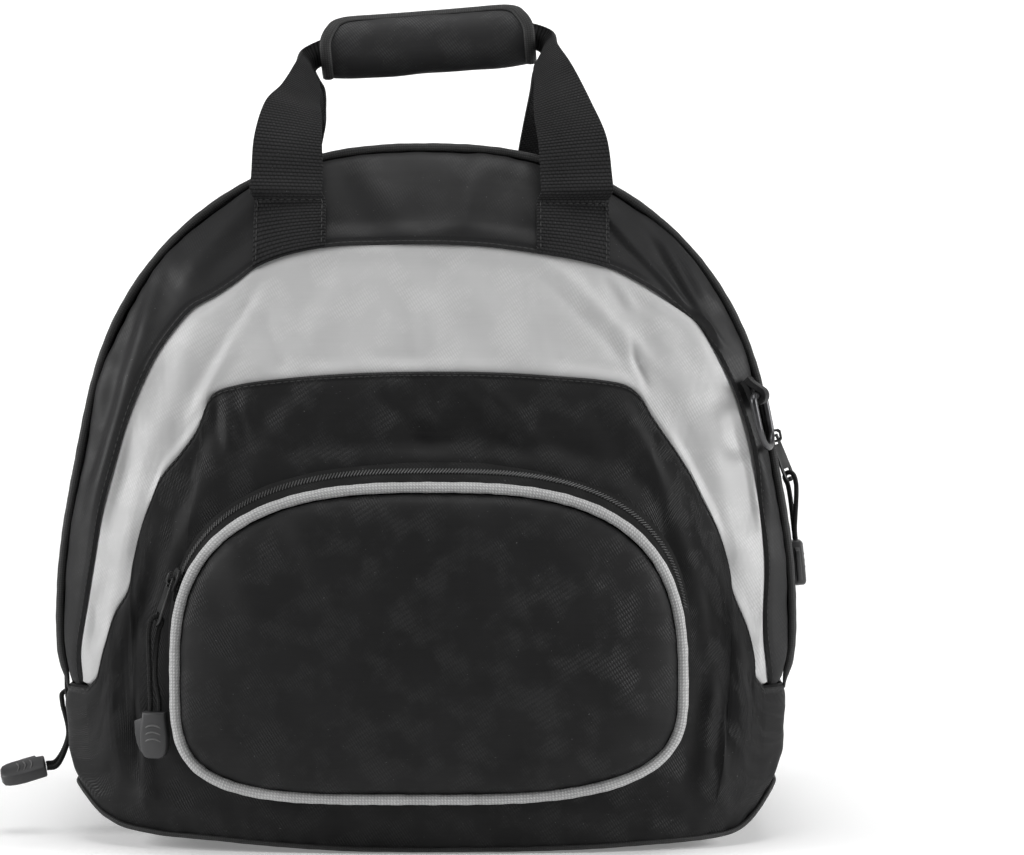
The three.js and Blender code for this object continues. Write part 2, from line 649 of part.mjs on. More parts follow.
function tabShape() {
  const outline = new THREE.Shape();
  const tangent = Math.atan2(TAB.tailZ, TAB.tailX);
  outline.absarc(0, 0, TAB.loop, tangent + Math.PI / 2, tangent - Math.PI / 2 + Math.PI * 2, false);
  const tail = new THREE.Vector2(TAB.tailX, TAB.tailZ);
  const aside = new THREE.Vector2(-Math.sin(tangent), Math.cos(tangent)).multiplyScalar(WEBBING * 0.75);
  outline.lineTo(tail.x - aside.x, tail.y - aside.y);
  outline.lineTo(tail.x + aside.x, tail.y + aside.y);
  outline.closePath();
  outline.holes.push(new THREE.Path().absarc(0, 0, TAB.hole, 0, Math.PI * 2, true));
  return outline;
}

for (const [name, { x, y, turn }] of Object.entries(RING_PLACES)) {
  const hanger = new THREE.Group();
  hanger.position.set(x, y, D_RING.z);
  hanger.rotation.z = degToRad(turn);
  bag.add(hanger);
  const ring = add(`d_ring_${name}`, loop(ringLine, D_RING.wire, 6, 24), DARK_STEEL, hanger);
  ring.rotation.y = -degToRad(D_RING.lean);
  const tab = new THREE.ExtrudeGeometry(tabShape(), {
    depth: TAB.width, bevelEnabled: false, curveSegments: 5,
  });
  tab.rotateX(Math.PI / 2);
  tab.translate(0, TAB.width / 2 + TAB.shift, 0);
  add(`d_ring_tab_${name}`, tab, BLACK_WEBBING, hanger);
}

// Zip pulls

// A frame at a place, with its Z axis along one direction and its X axis near another
function frameAt(at, zAxis, nearX) {
  const z = zAxis.clone().normalize();
  const y = z.clone().cross(nearX).normalize();
  const x = y.clone().cross(z);
  const group = new THREE.Group();
  group.matrix.makeBasis(x, y, z).setPosition(at);
  group.matrix.decompose(group.position, group.quaternion, group.scale);
  bag.add(group);
  return group;
}

// Plate with a bail on it: X along the chain, Z away from the tape
function sliderGeometry(bailRoom) {
  const halfL = SLIDER.length / 2;
  const halfW = SLIDER.width / 2;
  const outline = new THREE.Shape();
  outline.moveTo(-halfL, -halfW * 0.6);
  outline.lineTo(halfL * 0.3, -halfW);
  outline.quadraticCurveTo(halfL, -halfW, halfL, -halfW * 0.3);
  outline.lineTo(halfL, halfW * 0.3);
  outline.quadraticCurveTo(halfL, halfW, halfL * 0.3, halfW);
  outline.lineTo(-halfL, halfW * 0.6);
  const plate = new THREE.ExtrudeGeometry(outline, {
    depth: SLIDER.plate, bevelEnabled: false, curveSegments: 3,
  });
  const foot = SLIDER.bail / 2;
  const opening = SLIDER.window / 2;
  const sink = SLIDER.plate * 0.5;
  const crown = bailRoom;
  const arch = new THREE.Shape([
    [-foot, -sink], [-opening, -sink], [-opening, crown * 0.8], [-opening * 0.6, crown],
    [opening * 0.6, crown], [opening, crown * 0.8], [opening, -sink], [foot, -sink],
    [foot, crown], [opening, crown + SLIDER.bar], [-opening, crown + SLIDER.bar], [-foot, crown],
  ].map(([a, b]) => new THREE.Vector2(a, b)));
  const bail = new THREE.ExtrudeGeometry(arch, { depth: SLIDER.bar * 1.3, bevelEnabled: false });
  bail.translate(0, 0, -SLIDER.bar * 0.65);
  bail.rotateX(Math.PI / 2);
  bail.translate(0, 0, SLIDER.plate);
  return joined(plate, bail);
}

function slotPath(low, high, half) {
  return new THREE.Path([
    [-half, low], [-half, high], [half, high], [half, low],
  ].map(([a, b]) => new THREE.Vector2(a, b)));
}

// Tapered tab hanging along -Y from its top bar, with an eye for the bail and a slot for the cord
function pullerGeometry() {
  const { length, narrow, wide, bar } = PULLER;
  const outline = new THREE.Shape();
  outline.moveTo(-narrow / 2, bar / 2);
  outline.lineTo(-wide / 2, -length * 0.78);
  outline.quadraticCurveTo(-wide / 2, -length, 0, -length);
  outline.quadraticCurveTo(wide / 2, -length, wide / 2, -length * 0.78);
  outline.lineTo(narrow / 2, bar / 2);
  outline.closePath();
  outline.holes.push(slotPath(-bar / 2 - PULLER.eye, -bar / 2, narrow / 2 - bar));
  outline.holes.push(slotPath(-length * 0.9, -length * 0.9 + PULLER.slot, wide / 2 - bar * 1.4));
  const tab = new THREE.ExtrudeGeometry(outline, {
    depth: PULLER.thick, bevelEnabled: false, curveSegments: 4,
  });
  tab.translate(0, 0, -PULLER.thick / 2);
  return tab;
}

// Moulded block hanging along -Y from its cord holes, with a lip down one side
function cordEndGeometry() {
  const { length, width, thick, bevel } = CORD_END;
  const half = width / 2 - bevel;
  const low = -length + bevel;
  const outline = new THREE.Shape();
  outline.moveTo(-half * 0.8, -bevel);
  outline.lineTo(-half, low * 0.55);
  outline.quadraticCurveTo(-half, low, -half * 0.45, low);
  outline.lineTo(half * 0.45, low);
  outline.quadraticCurveTo(half, low, half, low * 0.55);
  outline.lineTo(half * 0.8, -bevel);
  const core = new THREE.ExtrudeGeometry(outline, {
    depth: thick - bevel * 2, bevelThickness: bevel, bevelSize: bevel, bevelSegments: 2, curveSegments: 4,
  });
  core.translate(0, 0, -thick / 2 + bevel);
  const edge = new THREE.Shape();
  edge.moveTo(-half * 0.7, -bevel * 1.5);
  edge.lineTo(-half - bevel - CORD_END.lip, -length * 0.2);
  edge.quadraticCurveTo(-half - bevel - CORD_END.lip, -length * 0.95, -half * 0.4, -length * 0.99);
  const lip = new THREE.ExtrudeGeometry(edge, {
    depth: CORD_END.lipThick, bevelEnabled: false, curveSegments: 5,
  });
  lip.translate(0, 0, -CORD_END.lipThick / 2);
  return joined(core, lip);
}

// Each pull: chain place and direction, puller tip, cord route below it, and the end's direction and face
function addPull(name, pull) {
  const onChain = pull.chain.clone().addScaledVector(pull.out, ZIP.coilHeight + GAP);
  const slider = frameAt(onChain, pull.out, pull.along);
  add(`${name}_slider`, sliderGeometry(pull.bailRoom), BLACK_METAL, slider);
  const eye = onChain.clone().addScaledVector(pull.out, SLIDER.plate + pull.bailRoom / 2);
  const hang = pull.tip.clone().sub(eye).normalize();
  const width = pull.out.clone().cross(hang).normalize().applyAxisAngle(hang, degToRad(pull.twist));
  const pullerFace = hang.clone().cross(width);
  const puller = frameAt(eye, pullerFace, width);
  add(`${name}_puller`, pullerGeometry(), BLACK_METAL, puller);
  const slotAt = eye.clone().addScaledVector(hang, PULLER.length * 0.9 - PULLER.slot / 2);
  const apart = pull.face.clone().cross(pull.drop).normalize();
  const hand = Math.sign(apart.dot(pullerFace)) || 1;
  const last = pull.route[pull.route.length - 1];
  const lead = last.clone().addScaledVector(pull.drop, -CORD.entry);
  const route = [...pull.route.slice(0, -1), lead, last];
  const strand = (part) => route.map((at) => at.clone().addScaledVector(apart, part * hand * CORD.spread));
  const turn = [[-1, 6.6], [-1, 1.4], [0, 0], [1, 1.4], [1, 6.6]].map(([part, below]) => slotAt.clone()
    .addScaledVector(pullerFace, part * CORD.spread * 1.15)
    .addScaledVector(hang, below));
  const cordLine = [...strand(-1).reverse(), ...turn, ...strand(1)];
  const cordSteps = Math.ceil(new THREE.CatmullRomCurve3(cordLine).getLength() / CORD.step);
  add(`${name}_pull_cord`, rod(cordLine, CORD.radius, CORD.sides, cordSteps), BLACK_CORD);
  const block = frameAt(last.clone().addScaledVector(pull.drop, GAP), pull.face, apart);
  add(`${name}_cord_end`, cordEndGeometry(), BLACK_PLASTIC, block);
}

// The rim station of a height on one side
function stationAt(side, height) {
  const steps = spread(400, 0, side);
  return steps.reduce((best, q) => (
    Math.abs(rimAt(q).y - height) < Math.abs(rimAt(best).y - height) ? q : best));
}

function chainFrame(side, height) {
  const q = stationAt(side, height);
  const out = rimOut(q);
  return {
    chain: onGusset(q, ZIP.at),
    out: point(out.x, 0, out.y),
    along: point(-out.y, 0, out.x).multiplyScalar(side),
  };
}

const DOWN = point(0, 0, -1);
const right = chainFrame(1, 208);
addPull('main_right', {
  ...right,
  bailRoom: 6,
  twist: 36,
  tip: point(195.5, -53, 183),
  route: [point(197.5, -51, 153)],
  drop: point(0.1, 0, -1).normalize(),
  face: point(1, 0, 0.1).normalize(),
});

const left = chainFrame(-1, 93);
addPull('main_left', {
  ...left,
  bailRoom: 2.5,
  twist: 0,
  tip: point(-192.5, -70, 66),
  route: [point(-191, -78, 50), point(-202, -84, 35.5)],
  drop: point(-0.97, -0.14, -0.18).normalize(),
  face: point(-0.15, -0.45, 0.88).normalize(),
});

const pocketAngle = Math.PI - 0.4;
const pocketFrame = pocketZipFrames[zipAngles.findIndex((angle) => angle >= pocketAngle)];
const pocketAlong = pocketFrame.out.clone().cross(pocketFrame.across);
addPull('pocket', {
  chain: pocketFrame.at,
  out: pocketFrame.out,
  along: pocketAlong.z > 0 ? pocketAlong : pocketAlong.negate(),
  bailRoom: 2.5,
  twist: 0,
  tip: point(-139.5, -146, 111),
  route: [point(-138, -145, 73)],
  drop: DOWN,
  face: point(-0.2, -1, 0).normalize(),
});

export default bag;
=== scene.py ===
# %% [markdown]
# # Dressing a soft helmet bag
#
# The bag is sewn from coated cloth, with piped seams, webbing straps and coil zips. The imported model
# already holds every piece at its place, so this lesson gives each one its real surface and leaves it
# where it is. Shapes are worked out in millimetres and become metres as each mesh is made.

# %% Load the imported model
import math

import bpy
import numpy as np
from mathutils import Matrix, Vector


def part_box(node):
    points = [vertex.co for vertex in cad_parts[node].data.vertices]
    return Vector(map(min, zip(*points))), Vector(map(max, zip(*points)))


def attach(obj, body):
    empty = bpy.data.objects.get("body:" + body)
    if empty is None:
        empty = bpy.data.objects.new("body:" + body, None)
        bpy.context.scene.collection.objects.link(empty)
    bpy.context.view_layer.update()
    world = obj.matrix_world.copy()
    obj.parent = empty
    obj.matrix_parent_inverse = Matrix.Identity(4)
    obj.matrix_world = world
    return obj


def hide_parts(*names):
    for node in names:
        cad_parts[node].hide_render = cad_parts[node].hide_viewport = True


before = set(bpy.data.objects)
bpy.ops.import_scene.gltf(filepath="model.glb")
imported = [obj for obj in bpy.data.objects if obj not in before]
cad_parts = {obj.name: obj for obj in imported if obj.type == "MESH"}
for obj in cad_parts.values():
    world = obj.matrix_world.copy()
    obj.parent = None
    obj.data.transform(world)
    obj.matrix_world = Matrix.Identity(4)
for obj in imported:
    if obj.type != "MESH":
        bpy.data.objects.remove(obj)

MM = 0.001
scene = bpy.context.scene
bpy.ops.object.select_all(action="DESELECT")
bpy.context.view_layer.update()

# %% [markdown]
# ## Camera
#
# The picture is taken from just above the middle of the front and from well back, so the sides hardly
# converge. A long lens at that distance gives the same flat look. The camera could be turned by hand
# until the outline fits, but a place, a tilt and a focal length in named values are easier to keep.

# %% Camera
IMAGE_WIDTH = 1024
SENSOR = 36
FOCAL_PIXELS = 3440
TARGET = Vector((45, -100, 216)) * MM
DISTANCE = 1.8
ELEVATION = math.radians(3)
towards_camera = Vector((0, -math.cos(ELEVATION), math.sin(ELEVATION)))
bpy.ops.object.camera_add(location=TARGET + towards_camera * DISTANCE,
                          rotation=(math.pi / 2 - ELEVATION, 0, 0))
camera = bpy.context.object
camera.name = "front_camera"
camera.data.sensor_width = SENSOR
camera.data.lens = SENSOR * FOCAL_PIXELS / IMAGE_WIDTH
scene.camera = camera
print("camera at", tuple(round(c, 3) for c in camera.location), "lens", round(camera.data.lens, 1))

# %% [markdown]
# ## The stuffed body
#
# Every panel lies on one rounded body: an arch seen from the front, puffed out in the middle of its
# front and back. If each panel were modelled by eye they would never meet along their seams. One set
# of surface formulas gives points for all of them, so neighbours share their edges exactly.

# %% Body outline
ARCH = dict(half=192.5, shoulder=128, rise=235, power=2.35, tuck=17, tuck_power=2)
FLANK = dict(flat=5.2, at=205, spread=55)
TOP = ARCH["shoulder"] + ARCH["rise"]
FRONT = dict(low=-104, lean=32, puff=-45)
BACK = dict(low=104, lean=-26, puff=14)
LEAN_POWER = 1.6
PUFF = dict(reach=3.3, depth=0.6)
HEART = np.array([0.0, 0.0, 170.0])


def side_width(z):
    """Half width of the sides, as if they ran on upwards without the arch."""
    z = np.asarray(z, float)
    below = np.clip((ARCH["shoulder"] - z) / ARCH["shoulder"], 0, 1)
    flank = FLANK["flat"] * np.exp(-((z - FLANK["at"]) / FLANK["spread"]) ** 2)
    return ARCH["half"] - ARCH["tuck"] * below ** ARCH["tuck_power"] - flank


def arch_power(z):
    return np.clip((np.asarray(z, float) - ARCH["shoulder"]) / ARCH["rise"], 0, 1) ** ARCH["power"]


def half_width(z):
    return side_width(z) * (1 - arch_power(z)) ** (1 / ARCH["power"])


def reach(x, z):
    """0 in the middle of a face, 1 on the rim."""
    sideways = (np.abs(x) / side_width(z)) ** ARCH["power"]
    return (sideways + arch_power(z)) ** (1 / ARCH["power"])


def edge_y(edge, z):
    return edge["low"] + edge["lean"] * np.maximum(0, np.asarray(z, float) / TOP) ** LEAN_POWER


def face_y(edge, x, z):
    depth = 1 - np.minimum(1, reach(x, z)) ** PUFF["reach"]
    return edge_y(edge, z) + edge["puff"] * depth ** PUFF["depth"]


def on_front(x, z, proud=0.0):
    x, z = np.broadcast_arrays(np.asarray(x, float), np.asarray(z, float))
    return np.stack([x, face_y(FRONT, x, z) - proud, z], axis=-1)


def on_back(x, z, proud=0.0):
    x, z = np.broadcast_arrays(np.asarray(x, float), np.asarray(z, float))
    return np.stack([x, face_y(BACK, x, z) + proud, z], axis=-1)


print("front stands", -float(face_y(FRONT, 0, 110)), "mm out at the middle of the pocket")

# %% Rim and gusset
ARCH_SHARE = 0.88
GUSSET_END = 83
SIDE_SEAM = 82
SIDE_BULGE = -3
RIM_SAMPLES = 6001


def rim_at(q):
    """The rim from the front: q is -1 at the left side seam, 0 at the top and 1 at the right."""
    q = np.asarray(q, float)
    part = np.abs(q)
    along_side = (part - ARCH_SHARE) / (1 - ARCH_SHARE)
    side_z = ARCH["shoulder"] + (GUSSET_END - ARCH["shoulder"]) * along_side
    turn = (1 - np.minimum(part / ARCH_SHARE, 1)) * math.pi / 2
    arch_z = ARCH["shoulder"] + ARCH["rise"] * np.clip(np.sin(turn), 0, 1) ** (2 / ARCH["power"])
    arch_x = side_width(arch_z) * np.clip(np.cos(turn), 0, 1) ** (2 / ARCH["power"])
    low = part > ARCH_SHARE
    x = np.where(low, half_width(side_z), arch_x)
    return np.stack([np.sign(q) * x, np.where(low, side_z, arch_z)], axis=-1)


def rim_out(q, step=0.004):
    along = rim_at(np.asarray(q) + step) - rim_at(np.asarray(q) - step)
    out = np.stack([-along[..., 1], along[..., 0]], axis=-1)
    return out / np.linalg.norm(out, axis=-1, keepdims=True)


def on_gusset(q, behind, proud=0.0):
    """A point of the gusset at a distance behind the front rim."""
    q, behind = np.broadcast_arrays(np.asarray(q, float), np.asarray(behind, float))
    rim = rim_at(q)
    front = edge_y(FRONT, rim[..., 1])
    share = behind / (edge_y(BACK, rim[..., 1]) - front)
    out = rim_out(q) * (SIDE_BULGE * np.sin(math.pi * share) + proud)[..., None]
    return np.stack([rim[..., 0] + out[..., 0], front + behind, rim[..., 1] + out[..., 1]], axis=-1)


def even_stations(count, limit=1.0):
    """Rim stations that are evenly spaced along the seam."""
    q = np.linspace(-limit, limit, RIM_SAMPLES)
    run = np.concatenate([[0], np.cumsum(np.linalg.norm(np.diff(rim_at(q), axis=0), axis=1))])
    return np.interp(np.linspace(0, run[-1], count), run, q)


print("rim from", rim_at(-1).round(1), "over", rim_at(0).round(1))

# %% Lines and tubes
SPAN_STEPS = 24


def evenly(line, count):
    """The same line with count evenly spaced points."""
    run = np.concatenate([[0], np.cumsum(np.linalg.norm(np.diff(line, axis=0), axis=1))])
    places = np.linspace(0, run[-1], count)
    return np.stack([np.interp(places, run, column) for column in line.T], axis=-1)


def smooth_line(points, count):
    """A smooth curve through points, evenly divided."""
    p = np.asarray(points, float)
    p = np.vstack([2 * p[0] - p[1], p, 2 * p[-1] - p[-2]])
    t = np.linspace(0, 1, SPAN_STEPS, endpoint=False)[:, None]
    pieces = []
    for a, b, c, d in zip(p, p[1:], p[2:], p[3:]):
        before, span, after = (np.linalg.norm(n - m) ** 0.5 for m, n in ((a, b), (b, c), (c, d)))
        leave = ((b - a) / before - (c - a) / (before + span) + (c - b) / span) * span
        arrive = ((c - b) / span - (d - b) / (span + after) + (d - c) / after) * span
        start = (2 * t ** 3 - 3 * t ** 2 + 1) * b + (t ** 3 - 2 * t ** 2 + t) * leave
        pieces.append(start + (3 * t ** 2 - 2 * t ** 3) * c + (t ** 3 - t ** 2) * arrive)
    return evenly(np.vstack(pieces + [p[-2:-1]]), count)


def smooth_loop(points, count):
    """A closed smooth curve through points; the last point meets the first."""
    p = np.asarray(points, float)
    wide = smooth_line(np.vstack([p[-3:], p, p[:4]]), 12 * count)
    start = np.argmin(np.linalg.norm(wide[: 4 * count] - p[0], axis=1))
    end = len(wide) // 2 + np.argmin(np.linalg.norm(wide[len(wide) // 2:] - p[0], axis=1))
    return evenly(wide[start:end + 1], count + 1)[:-1]


def unit(v):
    return v / np.maximum(np.linalg.norm(v, axis=-1, keepdims=True), 1e-9)


def rings(line, radius, sides, aim=None, closed=False):
    """Rings of points round a line, with their UVs as millimetres along and around."""
    if closed:
        tangent = unit(np.roll(line, -1, axis=0) - np.roll(line, 1, axis=0))
    else:
        tangent = unit(np.gradient(line, axis=0))
    normal = np.zeros_like(line)
    guide = np.array(aim if aim is not None else np.eye(3)[np.argmin(np.abs(tangent[0]))], float)
    for i, t in enumerate(tangent):
        normal[i] = unit(guide - t * guide.dot(t))
        if aim is None:
            guide = normal[i]
    side = np.cross(tangent, normal)
    angle = np.linspace(0, 2 * math.pi, sides, endpoint=False)
    radius = np.broadcast_to(np.asarray(radius, float), (len(line),))[:, None, None]
    spokes = np.cos(angle)[None, :, None] * normal[:, None] + np.sin(angle)[None, :, None] * side[:, None]
    grid = line[:, None] + spokes * radius
    steps = np.linalg.norm(np.diff(np.vstack([line, line[:1]]), axis=0), axis=1)
    along = np.concatenate([[0], np.cumsum(steps)])[: len(line) + closed]
    around = np.linspace(0, 2 * math.pi * float(radius.mean()), sides + 1)
    return grid, np.stack(np.meshgrid(along, around, indexing="ij"), axis=-1)


print("a smooth line of", len(smooth_line([(0, 0), (1, 2), (3, 3)], 9)), "points")

# %% Meshes from grids
def grid_piece(name, grid, uv, around=False, closed=False, caps=False, inside=HEART):
    """A mesh from a grid of points in millimetres, facing away from inside."""
    rows, cols = grid.shape[:2]
    i, j = np.meshgrid(np.arange(rows - 1 + closed), np.arange(cols - 1 + around), indexing="ij")
    corners = ((i, j), (i, j + 1), (i + 1, j + 1), (i + 1, j))
    faces = np.stack([(a % rows) * cols + b % cols for a, b in corners], axis=-1).reshape(-1, 4)
    corner_uv = np.stack([uv[a, b] for a, b in corners], axis=-2).reshape(-1, 4, 2)
    points = grid.reshape(-1, 3)
    quad = points[faces]
    centre = grid.mean(axis=1)[i.ravel()] if inside is None else np.asarray(inside, float)
    facing = np.cross(quad[:, 2] - quad[:, 0], quad[:, 3] - quad[:, 1])
    flip = np.sum(facing * (quad.mean(axis=1) - centre)) < 0
    polygons = (faces[:, ::-1] if flip else faces).tolist()
    uvs = (corner_uv[:, ::-1] if flip else corner_uv).reshape(-1, 2)
    if caps:
        first = list(range(cols))
        last = list(range((rows - 1) * cols, rows * cols))
        polygons += [first, last[::-1]] if flip else [first[::-1], last]
        uvs = np.vstack([uvs, np.zeros((2 * cols, 2))])
    mesh = bpy.data.meshes.new(name)
    mesh.from_pydata((points * MM).tolist(), [], polygons)
    mesh.uv_layers.new(name="cloth").data.foreach_set("uv", uvs.astype(np.float32).ravel())
    mesh.update()
    piece = bpy.data.objects.new(name, mesh)
    scene.collection.objects.link(piece)
    return piece


def only(piece):
    """Makes one piece the selected and active one."""
    bpy.ops.object.select_all(action="DESELECT")
    piece.select_set(True)
    bpy.context.view_layer.objects.active = piece


def apply_modifier(piece, kind, **settings):
    only(piece)
    modifier = piece.modifiers.new(kind.title(), kind)
    for key, value in settings.items():
        setattr(modifier, key, value)
    bpy.ops.object.modifier_apply(modifier=modifier.name)


def thicken(piece, millimetres):
    apply_modifier(piece, "SOLIDIFY", thickness=millimetres * MM, offset=-1, use_even_offset=True)


def round_edges(piece, width, segments=2, angle=60):
    """Rounds the edges of a piece that are sharper than an angle."""
    apply_modifier(piece, "BEVEL", width=width * MM, segments=segments, limit_method="ANGLE",
                   angle_limit=math.radians(angle))


def dress(piece, finish, slot, *nodes, body="bag", angle=50):
    """Gives a piece its finish and its body, and hides the solids that it stands for."""
    piece.data.materials.clear()
    piece.data.materials.append(finish)
    only(piece)
    bpy.ops.object.shade_smooth_by_angle(angle=math.radians(angle))
    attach(piece, body)
    if nodes:
        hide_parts(*nodes)
    print(piece.name, "faces", len(piece.data.polygons))


# %% [markdown]
# ## Shader building blocks
#
# A finish is a small graph of nodes. Wiring each one by hand would bury the idea under clicks, so two
# helpers add a node with its inputs already fed. Patterns that several finishes share become node
# groups, which give out only heights and tones; the shader itself stays in each material.

# %% Shader helpers
def put(tree, kind, *inputs, out=0, **settings):
    """Adds a shader node, feeds its inputs in order and gives back one output."""
    made = tree.nodes.new("ShaderNode" + kind)
    for key, value in settings.items():
        setattr(made, key, value)
    for socket, source in zip(made.inputs, inputs):
        if isinstance(source, bpy.types.NodeSocket):
            tree.links.new(source, socket)
        elif source is not None:
            socket.default_value = source
    return made.outputs[out]


def maths(tree, operation, *values):
    return put(tree, "Math", *values, operation=operation)


def new_group(name, inputs, outputs):
    group = bpy.data.node_groups.new(name, "ShaderNodeTree")
    for label, kind in inputs:
        group.interface.new_socket(label, in_out="INPUT", socket_type="NodeSocket" + kind)
    for label in outputs:
        group.interface.new_socket(label, in_out="OUTPUT", socket_type="NodeSocketFloat")
    entry = group.nodes.new("NodeGroupInput").outputs
    leave = group.nodes.new("NodeGroupOutput").inputs
    return group, entry, leave


def use_group(tree, group, *inputs):
    node = tree.nodes.new("ShaderNodeGroup")
    node.node_tree = group
    for socket, source in zip(node.inputs, inputs):
        if isinstance(source, bpy.types.NodeSocket):
            tree.links.new(source, socket)
        else:
            socket.default_value = source
    return node.outputs


def tint(tree, mask, low, high):
    """A colour between two greys or colours, by a mask."""
    mix = tree.nodes.new("ShaderNodeMix")
    mix.data_type = "RGBA"
    tree.links.new(mask, mix.inputs[0])
    for socket, colour in ((mix.inputs[6], low), (mix.inputs[7], high)):
        if isinstance(colour, bpy.types.NodeSocket):
            tree.links.new(colour, socket)
        else:
            socket.default_value = (*colour, 1)
    return mix.outputs[2]


def grid_wave(tree, value, pitch):
    """Half waves from 0 to 1, one for each pitch, and the signed wave."""
    wave = maths(tree, "SINE", maths(tree, "MULTIPLY", maths(tree, "DIVIDE", value, pitch), math.pi))
    return maths(tree, "ABSOLUTE", wave), wave


print("helpers ready")

# %% [markdown]
# ### Patterns
#
# The cloth is a twill: fine ribs that fall steeply from left to right, pressed flat in patches where the
# coating has filled them. Webbing has heavy ribs across it, tape is cut across its threads so that they run
# slantwise, and a braid is two sets of slanted strands. All of them read the piece's own UV map, which is
# laid out in millimetres, so every thread has its real size. In the tone that each pattern gives out, the
# raised threads are painted lighter: a painted highlight where they would catch the light.

# %% Pattern helpers
def split(tree, vector):
    """The three parts of a vector."""
    axes = tree.nodes.new("ShaderNodeSeparateXYZ")
    tree.links.new(vector, axes.inputs[0])
    return axes.outputs


def hand_out(tree, leave, *results):
    """Ties the results of a group to its outputs, in order."""
    for result, socket in zip(results, leave):
        tree.links.new(result, socket)


def highlight_and_fuzz(tree, place, height, scale):
    """Raised threads painted lighter as a painted highlight, broken up by their fuzz."""
    fuzz = put(tree, "TexNoise", place, None, scale, 3.0)
    return maths(tree, "MULTIPLY", height, maths(tree, "ADD", fuzz, 0.4))


print("pattern helpers ready")

# %% Twill
TWILL = dict(across=0.85, along=0.53, pick=1.9, dash=0.55, patch=0.055, worn=(0.46, 0.62, 0.04, 1.0),
             weft=(0.03, 0.8, 1.0), streak=0.2, ground=0.36, pressed=-0.14, raised=0.95)
woven, entry, leave = new_group("twill threads", [("Cloth", "Vector"), ("Pitch", "Float")],
                                ["Height", "Tone"])
u, v, _ = split(woven, entry[0])
lean = maths(woven, "MULTIPLY", v, TWILL["along"])
climb = maths(woven, "MULTIPLY", v, TWILL["across"])
across_ribs = maths(woven, "MULTIPLY_ADD", u, TWILL["across"], lean)
along_ribs = maths(woven, "MULTIPLY_ADD", u, -TWILL["along"], climb)
rib, _ = grid_wave(woven, across_ribs, entry[1])
pick, _ = grid_wave(woven, along_ribs, maths(woven, "MULTIPLY", entry[1], TWILL["pick"]))
patch = put(woven, "TexNoise", entry[0], None, TWILL["patch"], 3.0)
worn = put(woven, "MapRange", patch, *TWILL["worn"])
broken = maths(woven, "MULTIPLY_ADD", pick, TWILL["dash"], 1 - TWILL["dash"])
height = maths(woven, "MULTIPLY", maths(woven, "MULTIPLY", rib, broken), worn)
weft = put(woven, "VectorMath", entry[0], TWILL["weft"], operation="MULTIPLY")
streaks = put(woven, "TexNoise", weft, None, 1.0, 2.0)
ground = maths(woven, "MULTIPLY_ADD", worn, TWILL["pressed"], TWILL["ground"])
# Raised ribs are painted lighter than the ground: a painted highlight where they catch the light. The streaks
# and patches are random tone.
ribs_highlight_tone = maths(woven, "MULTIPLY_ADD", height, TWILL["raised"], ground)
tone = maths(woven, "MULTIPLY_ADD", streaks, TWILL["streak"], ribs_highlight_tone)
hand_out(woven, leave, height, tone)
print("twill nodes", len(woven.nodes))

# %% Webbing, slanted threads and mottle
RIB = dict(round=0.8, pick_round=0.3, fuzz=1.6)
CROSSING = dict(chequer=0.34, rib=0.32, fuzz=0.7)
LINT = dict(scale=900.0, least=0.79, colour=(0.3, 0.3, 0.3))
ribbed, entry, leave = new_group("ribbed webbing", [("Cloth", "Vector"), ("Rib", "Float"), ("Pick", "Float")],
                                 ["Height", "Tone"])
u, v, _ = split(ribbed, entry[0])
rib, rib_wave = grid_wave(ribbed, v, entry[1])
stagger = maths(ribbed, "MULTIPLY", maths(ribbed, "GREATER_THAN", rib_wave, 0.0), 0.5)
pick_place = maths(ribbed, "ADD", u, maths(ribbed, "MULTIPLY", stagger, entry[2]))
pick, _ = grid_wave(ribbed, pick_place, entry[2])
height = maths(ribbed, "MULTIPLY", maths(ribbed, "POWER", rib, RIB["round"]),
               maths(ribbed, "POWER", pick, RIB["pick_round"]))
# The webbing's raised ribs are painted lighter: a painted highlight.
hand_out(ribbed, leave, height, highlight_and_fuzz(ribbed, entry[0], height, RIB["fuzz"]))

slanted, entry, leave = new_group("slanted threads", [("Cloth", "Vector"), ("Pitch", "Float")],
                                  ["Height", "Tone"])
u, v, _ = split(slanted, entry[0])
_, one_wave = grid_wave(slanted, maths(slanted, "ADD", u, v), entry[1])
rib, other_wave = grid_wave(slanted, maths(slanted, "SUBTRACT", u, v), entry[1])
over_under = maths(slanted, "MULTIPLY", one_wave, other_wave)
chequer = maths(slanted, "MULTIPLY_ADD", over_under, CROSSING["chequer"], CROSSING["chequer"])
height = maths(slanted, "MULTIPLY_ADD", rib, CROSSING["rib"], chequer)
hand_out(slanted, leave, height, highlight_and_fuzz(slanted, entry[0], height, CROSSING["fuzz"]))

mottled, entry, leave = new_group("mottle and lint", [("Place", "Vector"), ("Scale", "Float")],
                                  ["Mottle", "Lint"])
blotch = put(mottled, "TexNoise", entry[0], None, entry[1], 4.0, 0.55)
speck = put(mottled, "TexNoise", entry[0], None, LINT["scale"], 1.0)
hand_out(mottled, leave, blotch, maths(mottled, "GREATER_THAN", speck, LINT["least"]))
print("groups", [group.name for group in bpy.data.node_groups])

# %% Fabric finishes
CLOTH_MOTTLE = dict(scale=26.0, shift=0.7)


def blank_finish(name):
    finish = bpy.data.materials.new(name)
    finish.use_nodes = True
    return finish, finish.node_tree, finish.node_tree.nodes["Principled BSDF"]


def raise_bump(tree, shader, height, strength, millimetres):
    bump = tree.nodes.new("ShaderNodeBump")
    bump.inputs["Strength"].default_value = strength
    bump.inputs["Distance"].default_value = millimetres * MM
    tree.links.new(height, bump.inputs["Height"])
    tree.links.new(bump.outputs[0], shader.inputs["Normal"])


